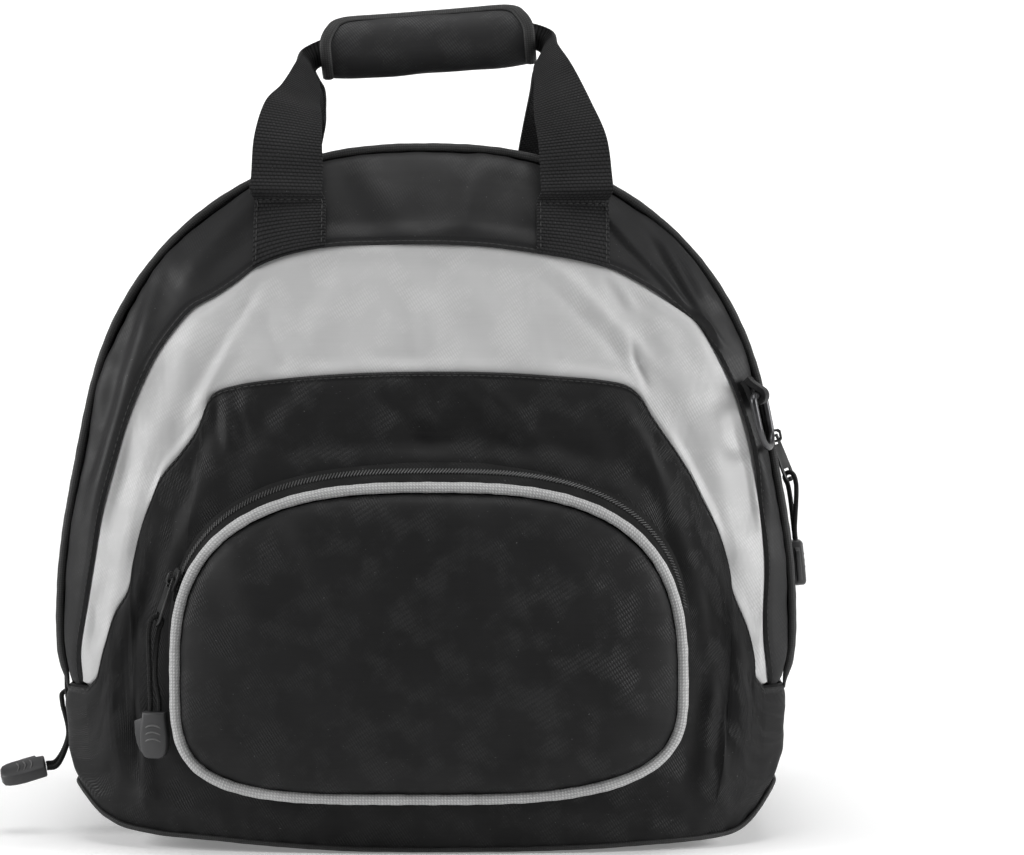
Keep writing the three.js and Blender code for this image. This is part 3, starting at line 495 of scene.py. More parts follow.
def thread_finish(name, group, sizes, dark, light, rough, depth, sheen=0.0, specular=0.4, lint=0.25):
    """A fabric: threads from a group with their raised threads painted lighter as a painted highlight,
    mottled tone, and bump as deep as the threads.
    """
    finish, tree, shader = blank_finish(name)
    threads = use_group(tree, group, put(tree, "UVMap", uv_map="cloth"), *sizes)
    patches = use_group(tree, mottled, put(tree, "TexCoord", out=3), CLOTH_MOTTLE["scale"])
    shift = maths(tree, "MULTIPLY", maths(tree, "SUBTRACT", patches[0], 0.5), CLOTH_MOTTLE["shift"])
    tone = maths(tree, "ADD", threads[1], shift)
    # The colour is the painted highlight on the raised threads, shifted by random mottle.
    colour = tint(tree, put(tree, "Clamp", tone), dark, light)
    dust = maths(tree, "MULTIPLY", patches[1], lint)
    tree.links.new(tint(tree, dust, colour, LINT["colour"]), shader.inputs["Base Color"])
    gloss = put(tree, "MapRange", tone, 0.0, 1.0, rough[1], rough[0])
    tree.links.new(gloss, shader.inputs["Roughness"])
    raise_bump(tree, shader, threads[0], 1.0, depth)
    shader.inputs["Sheen Weight"].default_value = sheen
    shader.inputs["Sheen Roughness"].default_value = 0.4
    shader.inputs["Specular IOR Level"].default_value = specular
    return finish


def grey(value, tilt=0.0):
    return (value, value, value * (1 + tilt))


CLOTH_PITCH = 1.3
black_cloth = thread_finish("black cloth", woven, (CLOTH_PITCH,), grey(0.001, 0.05), grey(0.0138, 0.03),
                            rough=(0.46, 0.75), depth=0.24, specular=0.2)
charcoal_cloth = thread_finish("charcoal cloth", woven, (CLOTH_PITCH,), grey(0.008, 0.05), grey(0.015, 0.03),
                               rough=(0.46, 0.62), depth=0.03, sheen=0.02, specular=0.22)
grip_cloth = thread_finish("grip cloth", woven, (CLOTH_PITCH,), grey(0.009, 0.05), grey(0.034, 0.03),
                           rough=(0.5, 0.75), depth=0.12, specular=0.25)
grey_cloth = thread_finish("grey cloth", woven, (CLOTH_PITCH,), grey(0.395), grey(0.5),
                           rough=(0.45, 0.7), depth=0.05, lint=0.0)
black_webbing = thread_finish("black webbing", ribbed, (2.0, 2.2), grey(0.001), grey(0.021, 0.04),
                              rough=(0.6, 0.88), depth=0.4, specular=0.18)
black_piping = thread_finish("black piping", slanted, (1.2,), grey(0.012), grey(0.045),
                             rough=(0.45, 0.75), depth=0.15, specular=0.25)
grey_piping = thread_finish("grey piping", slanted, (1.6,), grey(0.2), grey(0.56),
                            rough=(0.5, 0.75), depth=0.3, lint=0.0)
zip_tape = thread_finish("zip tape", woven, (0.9,), grey(0.003), grey(0.012),
                         rough=(0.65, 0.9), depth=0.12, specular=0.15)
black_cord = thread_finish("braided cord", slanted, (1.15,), grey(0.003), grey(0.02),
                           rough=(0.65, 0.9), depth=0.3, specular=0.2)
print("fabrics", len(bpy.data.materials))

# %% [markdown]
# ## Zip pulls
#
# Each zip has a metal slider, a flat puller on its bail and a loop of cord with a moulded end. The
# metal and moulded pieces already have their right shape, so a copy of each solid is merged and its
# edges are rounded, which is how light finds the edge of a real casting. The cords are drawn along the
# same route as the solids they stand for, as tubes whose UV map carries the braid.

# %% Metal and moulded finishes
HARD = dict(mottle=120.0, bump=0.5, bump_depth=0.05)


def hard_finish(name, dark, light, rough, metallic, grain, coat=0.0):
    """Painted metal or moulded plastic: cloudy tone, fine grain and rubbed spots."""
    finish, tree, shader = blank_finish(name)
    place = put(tree, "TexCoord", out=3)
    patches = use_group(tree, mottled, place, HARD["mottle"])
    fine = put(tree, "TexNoise", place, None, grain, 2.0)
    tree.links.new(tint(tree, patches[0], dark, light), shader.inputs["Base Color"])
    gloss = put(tree, "MapRange", patches[0], 0.3, 0.7, *rough)
    tree.links.new(gloss, shader.inputs["Roughness"])
    raise_bump(tree, shader, fine, HARD["bump"], HARD["bump_depth"])
    shader.inputs["Metallic"].default_value = metallic
    shader.inputs["Coat Weight"].default_value = coat
    return finish


black_metal = hard_finish("black painted metal", grey(0.01), grey(0.03), (0.3, 0.5), 0.3, 900.0, 0.2)
dark_steel = hard_finish("gunmetal", grey(0.05, 0.04), grey(0.11, 0.03), (0.3, 0.48), 0.95, 1200.0)
black_plastic = hard_finish("moulded plastic", grey(0.022, 0.04), grey(0.045, 0.03), (0.42, 0.6), 0.0, 1500.0)
print("hard finishes ready")

# %% Rounded copies of the hard solids
def rounded_copy(node, width):
    """A merged copy of a solid with its sharp edges rounded."""
    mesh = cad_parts[node].data.copy()
    mesh.name = node + "_detail"
    piece = bpy.data.objects.new(node + "_detail", mesh)
    scene.collection.objects.link(piece)
    only(piece)
    bpy.ops.object.mode_set(mode="EDIT")
    bpy.ops.mesh.select_all(action="SELECT")
    bpy.ops.mesh.remove_doubles(threshold=0.01 * MM)
    bpy.ops.mesh.dissolve_limited(angle_limit=math.radians(2))
    bpy.ops.object.mode_set(mode="OBJECT")
    round_edges(piece, width, angle=35)
    return piece


ZIP_NAMES = ("main_right", "main_left", "pocket")
CASTING_EDGES = {"_slider": 0.3, "_puller": 0.22}
for zip_name in ZIP_NAMES:
    for part, width in CASTING_EDGES.items():
        dress(rounded_copy(zip_name + part, width), black_metal, "black_metal", zip_name + part)

# %% Where the zip chains run
ZIP = dict(at=40, half=9, coil=1.5)
GAP = 0.4
POCKET = dict(x=2.8, z=109.4, half_x=128.9, top=187.5, bottom=31.3, depth=21, puff=12, inset=3.4,
              slant_side=5, slant_top=14, wall_back=1.9, wall_front=16, piping=19.5, zip_end=0.25)
POCKET_LEFT = dict(waist=96, above=2.7, below=4.2)
POCKET_RIGHT = dict(waist=86, above=2.9, below=3.1)


def pocket_outline(angle, grow=0.0):
    """Each quarter of the outline runs from the widest place on its side to the top or the bottom."""
    c, s = np.cos(angle), np.sin(angle)
    waist, above, below = (np.where(c >= 0, POCKET_RIGHT[key], POCKET_LEFT[key]) for key in POCKET_LEFT)
    power = 2 / np.where(s >= 0, above, below)
    tall = np.where(s >= 0, POCKET["top"] - waist, waist - POCKET["bottom"])
    x = POCKET["x"] + (POCKET["half_x"] + grow) * np.sign(c) * np.abs(c) ** power
    z = waist + (tall + grow) * np.sign(s) * np.abs(s) ** power
    return x, z


def on_pocket_wall(angle, depth):
    """The pocket's wall slants out from the piping to the panel behind it."""
    angle, depth = np.broadcast_arrays(np.asarray(angle, float), np.asarray(depth, float))
    steeper = POCKET["slant_top"] - POCKET["slant_side"]
    slant = POCKET["slant_side"] + steeper * np.maximum(0, np.sin(angle))
    x, z = pocket_outline(angle, slant * (1 - depth / POCKET["depth"]))
    return on_front(x, z, depth)


POCKET_HEART = on_front(POCKET["x"], POCKET["z"], POCKET["depth"] / 2)


def pocket_chain(angle):
    """Place, direction across the tape, and direction away from the pocket."""
    front = on_pocket_wall(angle, POCKET["wall_front"])
    back = on_pocket_wall(angle, POCKET["wall_back"])
    across = unit(back - front)
    step = 0.02
    middle = POCKET["depth"] / 2
    ahead = on_pocket_wall(angle + step, middle) - on_pocket_wall(angle - step, middle)
    out = unit(np.cross(ahead, across))
    at = (front + back) / 2
    flip = np.sign(np.sum(out * (at - POCKET_HEART), axis=-1, keepdims=True))
    return at, across, out * flip


def main_chain(side, height):
    """Place on the main zip at a height, and the direction away from the bag."""
    steps = np.linspace(0, side, 401)
    q = steps[np.argmin(np.abs(rim_at(steps)[:, 1] - height))]
    out = rim_out(q)
    return on_gusset(q, ZIP["at"]), np.array([out[0], 0, out[1]])


print("pocket zip passes", pocket_chain(np.array(math.pi / 2))[0].round(1))

# %% Cord loops
PULLS = {
    "main_right": dict(height=208, side=1, bail=6, twist=36, tip=(195.5, -53, 183), route=[(197.5, -51, 153)],
                       drop=(0.1, 0, -1), face=(1, 0, 0.1)),
    "main_left": dict(height=93, side=-1, bail=2.5, twist=0, tip=(-192.5, -70, 66),
                      route=[(-191, -78, 50), (-202, -84, 35.5)], drop=(-0.97, -0.14, -0.18),
                      face=(-0.15, -0.45, 0.88)),
    "pocket": dict(bail=2.5, twist=0, tip=(-139.5, -146, 111), route=[(-139, -146.5, 92), (-138, -145, 73)],
                   drop=(0, 0, -1), face=(-0.2, -1, 0)),
}
PULLER = dict(length=26, slot=4.8, plate=1.9, reach=0.9)
POCKET_SLIDER_ANGLE = math.pi - 0.4
CORD = dict(radius=1.3, spread=2.3, close=1.5, entry=5, flare=1.15, points=90, sides=12)
CORD_TURN = [(-1, 6.6), (-1, 1.4), (0, 0), (1, 1.4), (1, 6.6)]
zip_angles = np.linspace(POCKET["zip_end"], math.pi - POCKET["zip_end"], 27)


def cord_line(name):
    """The cord's route: up one strand, round the puller's slot and down the other strand."""
    pull = PULLS[name]
    if name == "pocket":
        angle = zip_angles[np.argmax(zip_angles >= POCKET_SLIDER_ANGLE)]
        chain, _, out = pocket_chain(np.array(angle))
    else:
        chain, out = main_chain(pull["side"], pull["height"])
    eye = chain + out * (ZIP["coil"] + GAP + PULLER["plate"] + pull["bail"] / 2)
    hang = unit(np.array(pull["tip"], float) - eye)
    twist = Matrix.Rotation(math.radians(pull["twist"]), 3, Vector(hang))
    width = np.array(twist) @ unit(np.cross(out, hang))
    face = np.cross(hang, width)
    slot = eye + hang * (PULLER["length"] * PULLER["reach"] - PULLER["slot"] / 2)
    drop = unit(np.array(pull["drop"], float))
    apart = unit(np.cross(unit(np.array(pull["face"], float)), drop))
    hand = np.sign(apart.dot(face)) or 1
    route = [np.array(p, float) for p in pull["route"]]
    route.insert(-1, route[-1] - drop * CORD["entry"])
    spread = [CORD["close"]] * (len(route) - 2) + [CORD["spread"]] * 2
    strand = [[p + apart * part * hand * gap for p, gap in zip(route, spread)] for part in (-1, 1)]
    flare = CORD["spread"] * CORD["flare"]
    top = [slot + face * part * flare + hang * below for part, below in CORD_TURN]
    return smooth_line(strand[0][::-1] + top + strand[1], CORD["points"])


for zip_name in ZIP_NAMES:
    line = cord_line(zip_name)
    points, uv = rings(line, CORD["radius"], CORD["sides"])
    cord = grid_piece(zip_name + "_cord", points, uv, around=True, caps=True, inside=None)
    dress(cord, black_cord, "black_cord", zip_name + "_pull_cord")
    PULLS[zip_name]["line"] = line

# %% Cord ends
END_GRIP = dict(out=3.4, lines=(8.5, 12, 15.5), half=4.2, arch=1.4, radius=0.55, taper=0.96, round=0.6)
# The three ridges are coloured a lighter grey than the moulded end.
ridge_plastic = hard_finish("lighter ridge plastic", grey(0.05), grey(0.13), (0.4, 0.55), 0.0, 1500.0)


def end_lines(zip_name):
    """Three arched lines that stand out of the face of a moulded end."""
    pull = PULLS[zip_name]
    face = unit(np.array(pull["face"], float))
    drop = np.array(pull["drop"], float)
    drop = unit(drop - face * drop.dot(face))
    across = np.cross(face, drop)
    bow = np.linspace(-1, 1, 15)[:, None]
    radius = END_GRIP["radius"] * np.sqrt(1 - END_GRIP["taper"] * bow[:, 0] ** 4)
    made = []
    for below in END_GRIP["lines"]:
        line = np.array(pull["route"][-1]) + face * END_GRIP["out"] + across * bow * END_GRIP["half"]
        line = line + drop * (below + END_GRIP["arch"] * (bow ** 2 - 1))
        points, uv = rings(line, radius, 8)
        made.append(grid_piece(zip_name + "_end_lines", points, uv, around=True, caps=True, inside=None))
    only(made[0])
    for piece in made[1:]:
        piece.select_set(True)
    bpy.ops.object.join()
    return made[0]


for zip_name in ZIP_NAMES:
    end = rounded_copy(zip_name + "_cord_end", END_GRIP["round"])
    dress(end, black_plastic, "black_plastic", zip_name + "_cord_end")
    lines = end_lines(zip_name)
    dress(lines, ridge_plastic, "black_plastic")
    line = PULLS[zip_name]["line"] * MM

# %% [markdown]
# ## Cloth that lies between seams
#
# Sewn cloth is never flat: it dips into its seams, puckers where the thread pulls, creases where the
# bag was folded and fills out between its edges. The first three are heights added along the normals,
# because they sit where the hand put them. The last is left to a short cloth simulation on a coarser
# copy of the panel, with its edges pinned, whose movement is carried over to the fine grid.

# %% Relief helpers
PUCKER = dict(length=2.3, drift=19, swing=1.7, beat=41)


def run_along(grid, axis):
    """Length from the first row or column, at each point."""
    step = np.linalg.norm(np.diff(grid, axis=axis), axis=-1)
    none = np.zeros_like(np.take(step, [0], axis=axis))
    return np.concatenate([none, np.cumsum(step, axis=axis)], axis=axis)


def normals_of(grid, inside=HEART):
    normal = unit(np.cross(np.gradient(grid, axis=0), np.gradient(grid, axis=1)))
    return normal * np.sign(np.sum(normal * (grid - inside)))


def from_edge(grid, axis, end):
    """Distance of each point from one edge of the grid, and the length along that edge."""
    away = run_along(grid, axis)
    if end:
        away = np.take(away, [-1], axis=axis) - away
    along = np.take(run_along(grid, 1 - axis), [-1 if end else 0], axis=axis)
    return away, np.broadcast_to(along, away.shape)


def seam_dip(grid, axis, end, dip, width, pucker=0.0, seed=0.0):
    """Cloth pulled down into a seam, with puckers that fade away from it."""
    away, along = from_edge(grid, axis, end)
    drift = PUCKER["swing"] * np.sin(along / PUCKER["drift"] + seed)
    beat = 0.6 + 0.4 * np.sin(along / PUCKER["beat"] + 3 * seed)
    wave = np.sin(along / PUCKER["length"] + drift) * beat
    return -dip * np.exp(-(away / width) ** 2) + pucker * wave * np.exp(-away / (2.5 * width))


def stitch_groove(grid, axis, end, at, depth=0.35, width=0.9):
    away, _ = from_edge(grid, axis, end)
    return -depth * np.exp(-((away - at) / width) ** 2)


def creases(x, z, table):
    """Folds from (x0, z0) to (x1, z1): a ridge of a width and height with a dip beside it."""
    total = np.zeros(np.broadcast(x, z).shape)
    for x0, z0, x1, z1, width, height in table:
        length = math.hypot(x1 - x0, z1 - z0)
        ahead = ((x - x0) * (x1 - x0) + (z - z0) * (z1 - z0)) / length
        aside = ((x - x0) * (z1 - z0) - (z - z0) * (x1 - x0)) / length
        fade = np.exp(-(np.maximum(0, np.maximum(-ahead, ahead - length)) / (0.35 * length)) ** 2)
        shape = np.exp(-(aside / width) ** 2) - 0.7 * np.exp(-((aside - 1.5 * width) / (1.2 * width)) ** 2)
        total += height * fade * shape
    return total


RIPPLE_WAVES = 7


def ripples(a, b, size, height, seed):
    """Soft unevenness: a few crossing waves about as long as size."""
    draw = np.random.default_rng(seed)
    total = np.zeros(np.broadcast(a, b).shape)
    for _ in range(RIPPLE_WAVES):
        heading = draw.uniform(0, math.pi)
        phase = draw.uniform(0, 6.28)
        length = size * draw.uniform(0.7, 1.6)
        ahead = a * math.cos(heading) + b * math.sin(heading)
        total += np.sin(ahead * 2 * math.pi / length + phase)
    return height * total / RIPPLE_WAVES ** 0.5


print("relief helpers ready")

# %% Settling helper
SETTLE_FRAMES = 20


def spread_out(values, places, count):
    """Values at some rows of a grid, carried over to every row."""
    full = np.arange(count)
    flat = values.reshape(len(places), -1)
    columns = [np.interp(full, places, column) for column in flat.T]
    return np.stack(columns, axis=-1).reshape(count, *values.shape[1:])


def settled(grid, step, slack, swell, cap):
    """How a panel pinned at its edges moves as it fills out, at every point of its grid."""
    rows, cols = grid.shape[:2]
    at_rows = np.unique(np.linspace(0, rows - 1, max(4, round(rows / step))).astype(int))
    at_cols = np.unique(np.linspace(0, cols - 1, max(4, round(cols / step))).astype(int))
    coarse = grid[np.ix_(at_rows, at_cols)]
    panel = grid_piece("settling", coarse, np.zeros((*coarse.shape[:2], 2)))
    pinned = np.zeros(coarse.shape[:2], bool)
    pinned[[0, -1]] = True
    pinned[:, [0, -1]] = True
    edge = panel.vertex_groups.new(name="sewn")
    edge.add(np.flatnonzero(pinned).tolist(), 1.0, "REPLACE")
    cloth = panel.modifiers.new("Cloth", "CLOTH")
    cloth.settings.vertex_group_mass = "sewn"
    cloth.settings.quality = 6
    cloth.settings.mass = 0.2
    cloth.settings.tension_stiffness = 30
    cloth.settings.compression_stiffness = 30
    cloth.settings.shear_stiffness = 12
    cloth.settings.bending_stiffness = 4
    cloth.settings.shrink_min = -slack
    cloth.settings.use_pressure = True
    cloth.settings.uniform_pressure_force = swell
    cloth.settings.effector_weights.gravity = 0.4
    cloth.collision_settings.use_collision = False
    cloth.point_cache.frame_end = SETTLE_FRAMES
    for step_frame in range(1, SETTLE_FRAMES + 1):
        scene.frame_set(step_frame)
    after = panel.evaluated_get(bpy.context.evaluated_depsgraph_get()).data
    moved = np.empty(len(after.vertices) * 3)
    after.vertices.foreach_get("co", moved)
    move = moved.reshape(coarse.shape) / MM - coarse
    size = np.linalg.norm(move, axis=-1, keepdims=True)
    move *= np.minimum(1, cap / np.maximum(size, 1e-6))
    for _ in range(2):
        beside = move[:-2, 1:-1] + move[2:, 1:-1] + move[1:-1, :-2] + move[1:-1, 2:]
        move[1:-1, 1:-1] = move[1:-1, 1:-1] / 2 + beside / 8
    bpy.data.objects.remove(panel, do_unlink=True)
    scene.frame_set(1)
    print("settled", coarse.shape[:2], "moved up to", round(float(size.max()), 1), "mm")
    wide = spread_out(move, at_rows, rows).transpose(1, 0, 2)
    return spread_out(wide, at_cols, cols).transpose(1, 0, 2)


def lay_cloth(name, grid, uv, height, thickness, move=0.0, **shape):
    """A panel: its grid raised by a height, moved as it settled, and given its thickness."""
    inside = shape.get("inside", HEART)
    raised = grid + normals_of(grid, inside) * height[..., None] + move
    piece = grid_piece(name, raised, uv, **shape)
    thicken(piece, thickness)
    return piece, raised


print("settling for", SETTLE_FRAMES, "frames")

# %% [markdown]
# ### Topstitching
#
# Thread lies on the cloth in short straight stitches. One small round bead is modelled, stretched to a
# stitch, and copied along a line on the panel; a texture could draw the same dashes, but real stitches
# catch the light and sit in the groove they pull.

# %% Stitch helper
STITCH = dict(length=2.7, pitch=3.5, width=0.62, height=0.42)


def stretched_shape(size, bevel=0.0):
    """Lays the active shape on its side, stretches it, and gives back its points and faces."""
    shape = bpy.context.object
    bpy.ops.object.mode_set(mode="EDIT")
    bpy.ops.mesh.select_all(action="SELECT")
    bpy.ops.transform.rotate(value=math.pi / 2, orient_axis="Y", center_override=(0, 0, 0))
    bpy.ops.transform.resize(value=(size["length"], size["width"], size["height"]), center_override=(0, 0, 0))
    if bevel:
        bpy.ops.mesh.bevel(offset=bevel, segments=1, affect="EDGES")
    bpy.ops.object.mode_set(mode="OBJECT")
    points = np.array([v.co[:] for v in shape.data.vertices])
    faces = [list(f.vertices) for f in shape.data.polygons]
    bpy.data.objects.remove(shape, do_unlink=True)
    return points, faces


def copies(name, shape, places):
    """One mesh of a shape copied to places of (point, axes)."""
    shape_points, shape_faces = shape
    points, faces = [], []
    for place, axes in places:
        start = len(points) * len(shape_points)
        points.append(place + shape_points @ np.stack(axes))
        faces += [[start + i for i in face] for face in shape_faces]
    mesh = bpy.data.meshes.new(name)
    mesh.from_pydata((np.vstack(points) * MM).tolist(), [], faces)
    mesh.update()
    piece = bpy.data.objects.new(name, mesh)
    scene.collection.objects.link(piece)
    return piece


bpy.ops.mesh.primitive_uv_sphere_add(segments=6, ring_count=5, radius=0.5)
bead = stretched_shape(STITCH)
thread = hard_finish("sewing thread", grey(0.006), grey(0.024), (0.55, 0.8), 0.0, 2500.0)


def stitch_run(name, lines, slot="black_cloth", proud=0.12):
    """Stitches along lines of (points, normals) on the cloth."""
    places = []
    for line, normal in lines:
        length = np.linalg.norm(np.diff(line, axis=0), axis=1).sum()
        count = max(2, int(length / STITCH["pitch"]))
        both = evenly(np.hstack([line, normal]), count * 2 + 1)
        for k in range(1, len(both), 2):
            along = unit(both[k + 1, :3] - both[k - 1, :3])
            up = unit(both[k, 3:] - along * both[k, 3:].dot(along))
            places.append((both[k, :3] + up * proud, [along, np.cross(up, along), up]))
    dress(copies(name, bead, places), thread, slot)


def edge_line(grid, axis, end, at, inside=HEART):
    """The line on a grid that runs at a distance from one of its edges, with its normals."""
    away, _ = from_edge(grid, axis, end)
    both = np.concatenate([grid, normals_of(grid, inside)], axis=-1)
    if axis == 0:
        both, away = both.transpose(1, 0, 2), away.T
    picked = []
    for values, distance in zip(both, away):
        order = np.argsort(distance)
        picked.append([np.interp(at, distance[order], values[order, k]) for k in range(6)])
    picked = np.array(picked)
    return picked[:, :3], picked[:, 3:]


print("one stitch has", len(bead[1]), "faces")

# %% [markdown]
# ## Front panels
#
# A dark upper panel and a dark lower panel are lapped over a pale band and topstitched along their
# folded edges. The pale band is cut wider than it shows and runs on under its neighbours, so no gap
# opens however the cloth creases. The seam lines follow a short list of stations on each side. The lower
# panel goes on round both sides, and its left corner is drawn up more than its right one.

# %% Seam lines
RIGHT_SEAM = [
    (0, 246.5, 0, 312), (38, 246, 30, 311), (70, 244, 58, 307.5), (92, 242, 79, 304), (105, 239, 98, 299),
    (112, 233, 112, 292), (116, 226, 124, 284.5), (122, 217, 134, 277.5), (129, 207, 143, 270),
    (136, 196, 151, 257.5), (144, 180, 160.5, 238), (151, 166, 167, 218), (156.5, 149, 172, 196),
    (159, 134, 175.5, 172), (167, 114.5, 177.5, 145), (171, 99, 176.5, 118), (172.9, 89, 177.5, 102),
    (178, 82.8, 182.5, 83),
]
LEFT_SEAM = [
    (0, 246.5, 0, 312), (38, 245.5, 30, 312), (72, 243, 56, 310), (96, 239.7, 76, 305.5), (108, 236, 89, 300),
    (112, 231, 98, 293), (114.5, 224, 110, 285), (118, 216, 121, 279), (126, 205, 131, 268),
    (135.5, 193.5, 140, 255), (141, 181, 148, 239), (145.5, 169, 155.5, 220), (149.5, 153, 162.5, 196),
    (153, 135, 169, 171), (160.5, 122, 173, 147), (166, 105, 176.5, 126), (171.5, 89, 181, 101),
    (178, 82.2, 183, 82.4),
]
MIRROR = np.array([-1, 1, -1, 1])
TUCKED_END = (179.5, 76, 183.5, 76)
left_half = np.array(LEFT_SEAM[1:] + [TUCKED_END])[::-1] * MIRROR
stations = np.vstack([left_half, np.array(RIGHT_SEAM + [TUCKED_END])])
SEAM_COLUMNS = 331
seams = smooth_line(stations, SEAM_COLUMNS)
lower_seam = seams[:, :2]
upper_seam = seams[:, 2:]
print("lower seam", len(lower_seam), "columns, upper seam top", upper_seam[SEAM_COLUMNS // 2].round(1))

# %% Pale band
UNDER = dict(width=4.5, least=0.3, low=88, high=104)
LAP_SINK = 1.6
LAP_FALL = dict(depth=1.3, half=1.5)
BAND_TIP = dict(depth=5, low=80.8, high=83.8)
BAND_FADE = (0, 9)
BAND_ROWS = 35
THICK = dict(band=1.2, crown=1.5, shell=1.6, base=2.0, pocket_wall=1.4)
WAIST = dict(depth=2.6, spread=12, start=160, stop=180, back=50, front=95)


def ramp(value, start, stop):
    """0 before start, 1 after stop, smooth between them."""
    share = np.clip((value - start) / (stop - start), 0, 1)
    return share * share * (3 - 2 * share)


def away_from(line, x, z):
    """Distance of each point from a seam line, seen from the front."""
    away = np.full(np.broadcast(x, z).shape, np.inf)
    for at_x, at_z in line:
        away = np.minimum(away, np.hypot(x - at_x, z - at_z))
    return away


def taken_in(points):
    """The waist at the front of each side seam, where the lower panel draws the rim in."""
    x, y, z = points[..., 0], points[..., 1], points[..., 2]
    pull = WAIST["depth"] * np.exp(-((z - SIDE_SEAM) / WAIST["spread"]) ** 2)
    pull *= ramp(np.abs(x), WAIST["start"], WAIST["stop"]) * ramp(-y, WAIST["back"], WAIST["front"])
    moved = points.copy()
    moved[..., 0] -= np.sign(x) * pull
    return moved


def tip_fall(z, tip):
    """How far a panel dives under its neighbour where it narrows to a tip."""
    return tip["depth"] * ramp(-z, -tip["high"], -tip["low"])


GREY_CREASES = [
    (66, 302, 107, 262, 4.5, 2.2), (98, 296, 106, 284, 2.5, 1.1), (109, 258, 114, 243, 2.5, -1.7),
    (-90, 276, -112, 238, 4, 1.5), (-74, 270, -66, 250, 5, 1.2), (0, 278, 5, 248, 6, 1.4),
    (20, 296, 42, 262, 9, 1.2), (-40, 300, -58, 262, 8, 1.1), (-120, 262, -138, 216, 7, 1.2),
    (126, 262, 146, 206, 7, 1.3), (150, 214, 164, 150, 6, 1.0), (-148, 196, -160, 132, 6, 1.0),
]
span = upper_seam - lower_seam
span_length = np.linalg.norm(span, axis=1, keepdims=True)
shares = np.linspace(0, 1, BAND_ROWS)[:, None, None]
widening = ramp(lower_seam[:, 1], UNDER["low"], UNDER["high"])
under = UNDER["width"] * (UNDER["least"] + (1 - UNDER["least"]) * widening)[:, None]
along_span = -under + shares * (span_length + 2 * under)[None]
flat = lower_seam[None] + unit(span)[None] * along_span
x, z = flat[..., 0], flat[..., 1]
band = taken_in(on_front(x, z))
relief = creases(x, z, GREY_CREASES) + ripples(x, z, size=46, height=0.35, seed=3)
relief += ripples(x, z, size=17, height=0.1, seed=4)
shown = np.minimum(along_span, span_length[None] - along_span)[..., 0]
fade = ramp(shown, *BAND_FADE)
move = settled(band, step=3.2, slack=0.008, swell=0.6, cap=2.5) * fade[..., None]
height = relief * fade - LAP_SINK - LAP_FALL["depth"] * ramp(-shown, -LAP_FALL["half"], LAP_FALL["half"])
height -= tip_fall(z, BAND_TIP)
grey_panel, grey_grid = lay_cloth("grey_panel", band, flat, height, THICK["band"], move)
dress(grey_panel, grey_cloth, "grey_cloth", "front_grey_panel")

# %% Upper panel
FOLDED_EDGE = np.array([0, 0.5, 1.2, 2.2, 3.2, 4.2])
FOLD = dict(proud=0.55, roll=1.9, width=0.7)
LAP_STITCH = 2.2
LOOSE = (3, 14)
PANEL_LIMIT = 0.996
UPPER_ROWS = 24
UPPER_TIP = dict(depth=2.8, low=81, high=86)
UPPER_CREASES = [
    (97, 323, 141, 275, 1.9, 1.4), (125, 309, 145, 273, 1.7, 1.2), (150, 262, 176, 190, 4, 1.5),
    (118, 334, 158, 268, 6, 1.4), (-148, 267, -168, 195, 4.5, 1.9),
    (-100, 326, -150, 262, 7, 1.5), (30, 350, 8, 318, 10, 1.1), (-30, 348, -12, 320, 9, 1.0),
]


def fold_shares(length, rows):
    """Rows close together at a folded edge and even beyond it, for columns of any length."""
    first = np.broadcast_to(FOLDED_EDGE[:, None], (len(FOLDED_EDGE), len(length)))
    last = FOLDED_EDGE[-1] + (length[None] - FOLDED_EDGE[-1]) * np.linspace(0, 1, rows + 1)[1:, None]
    return np.vstack([first, last])


def folded_lift(distance):
    """The turned edge of a lapped panel: rolled under at the very edge, proud beside it."""
    return FOLD["proud"] - FOLD["roll"] * np.exp(-(distance / FOLD["width"]) ** 2)


grow = PANEL_LIMIT / reach(upper_seam[:, 0], upper_seam[:, 1])
above = upper_seam[:, 1] - ARCH["shoulder"]
rim_z = ARCH["shoulder"] + np.where(above > 0, above * grow, above)
rim_x = upper_seam[:, 0] / side_width(upper_seam[:, 1]) * grow * side_width(rim_z)
rim_edge = np.stack([rim_x, rim_z], axis=-1)
rise = rim_edge - upper_seam
distance = fold_shares(np.linalg.norm(rise, axis=1), UPPER_ROWS)
flat = upper_seam[None] + unit(rise)[None] * distance[..., None]
x, z = flat[..., 0], flat[..., 1]
crown = taken_in(on_front(x, z))
height = folded_lift(distance) + creases(x, z, UPPER_CREASES)
height += seam_dip(crown, 0, 1, dip=2.2, width=3.2, pucker=0.22, seed=1)
height += stitch_groove(crown, 0, 0, LAP_STITCH, depth=0.5) - tip_fall(z, UPPER_TIP)
height += ripples(x, z, size=60, height=0.35, seed=7)
loose = ramp(away_from(upper_seam, x, z), *LOOSE)
move = settled(crown, step=3.0, slack=0.006, swell=0.6, cap=2.0) * loose[..., None]
upper_panel, upper_grid = lay_cloth("upper_panel", crown, flat, height, THICK["crown"], move)
dress(upper_panel, charcoal_cloth, "charcoal_cloth", "front_upper_panel")
stitch_run("upper_panel_stitches", [edge_line(upper_grid, 0, 0, LAP_STITCH)], "charcoal_cloth")

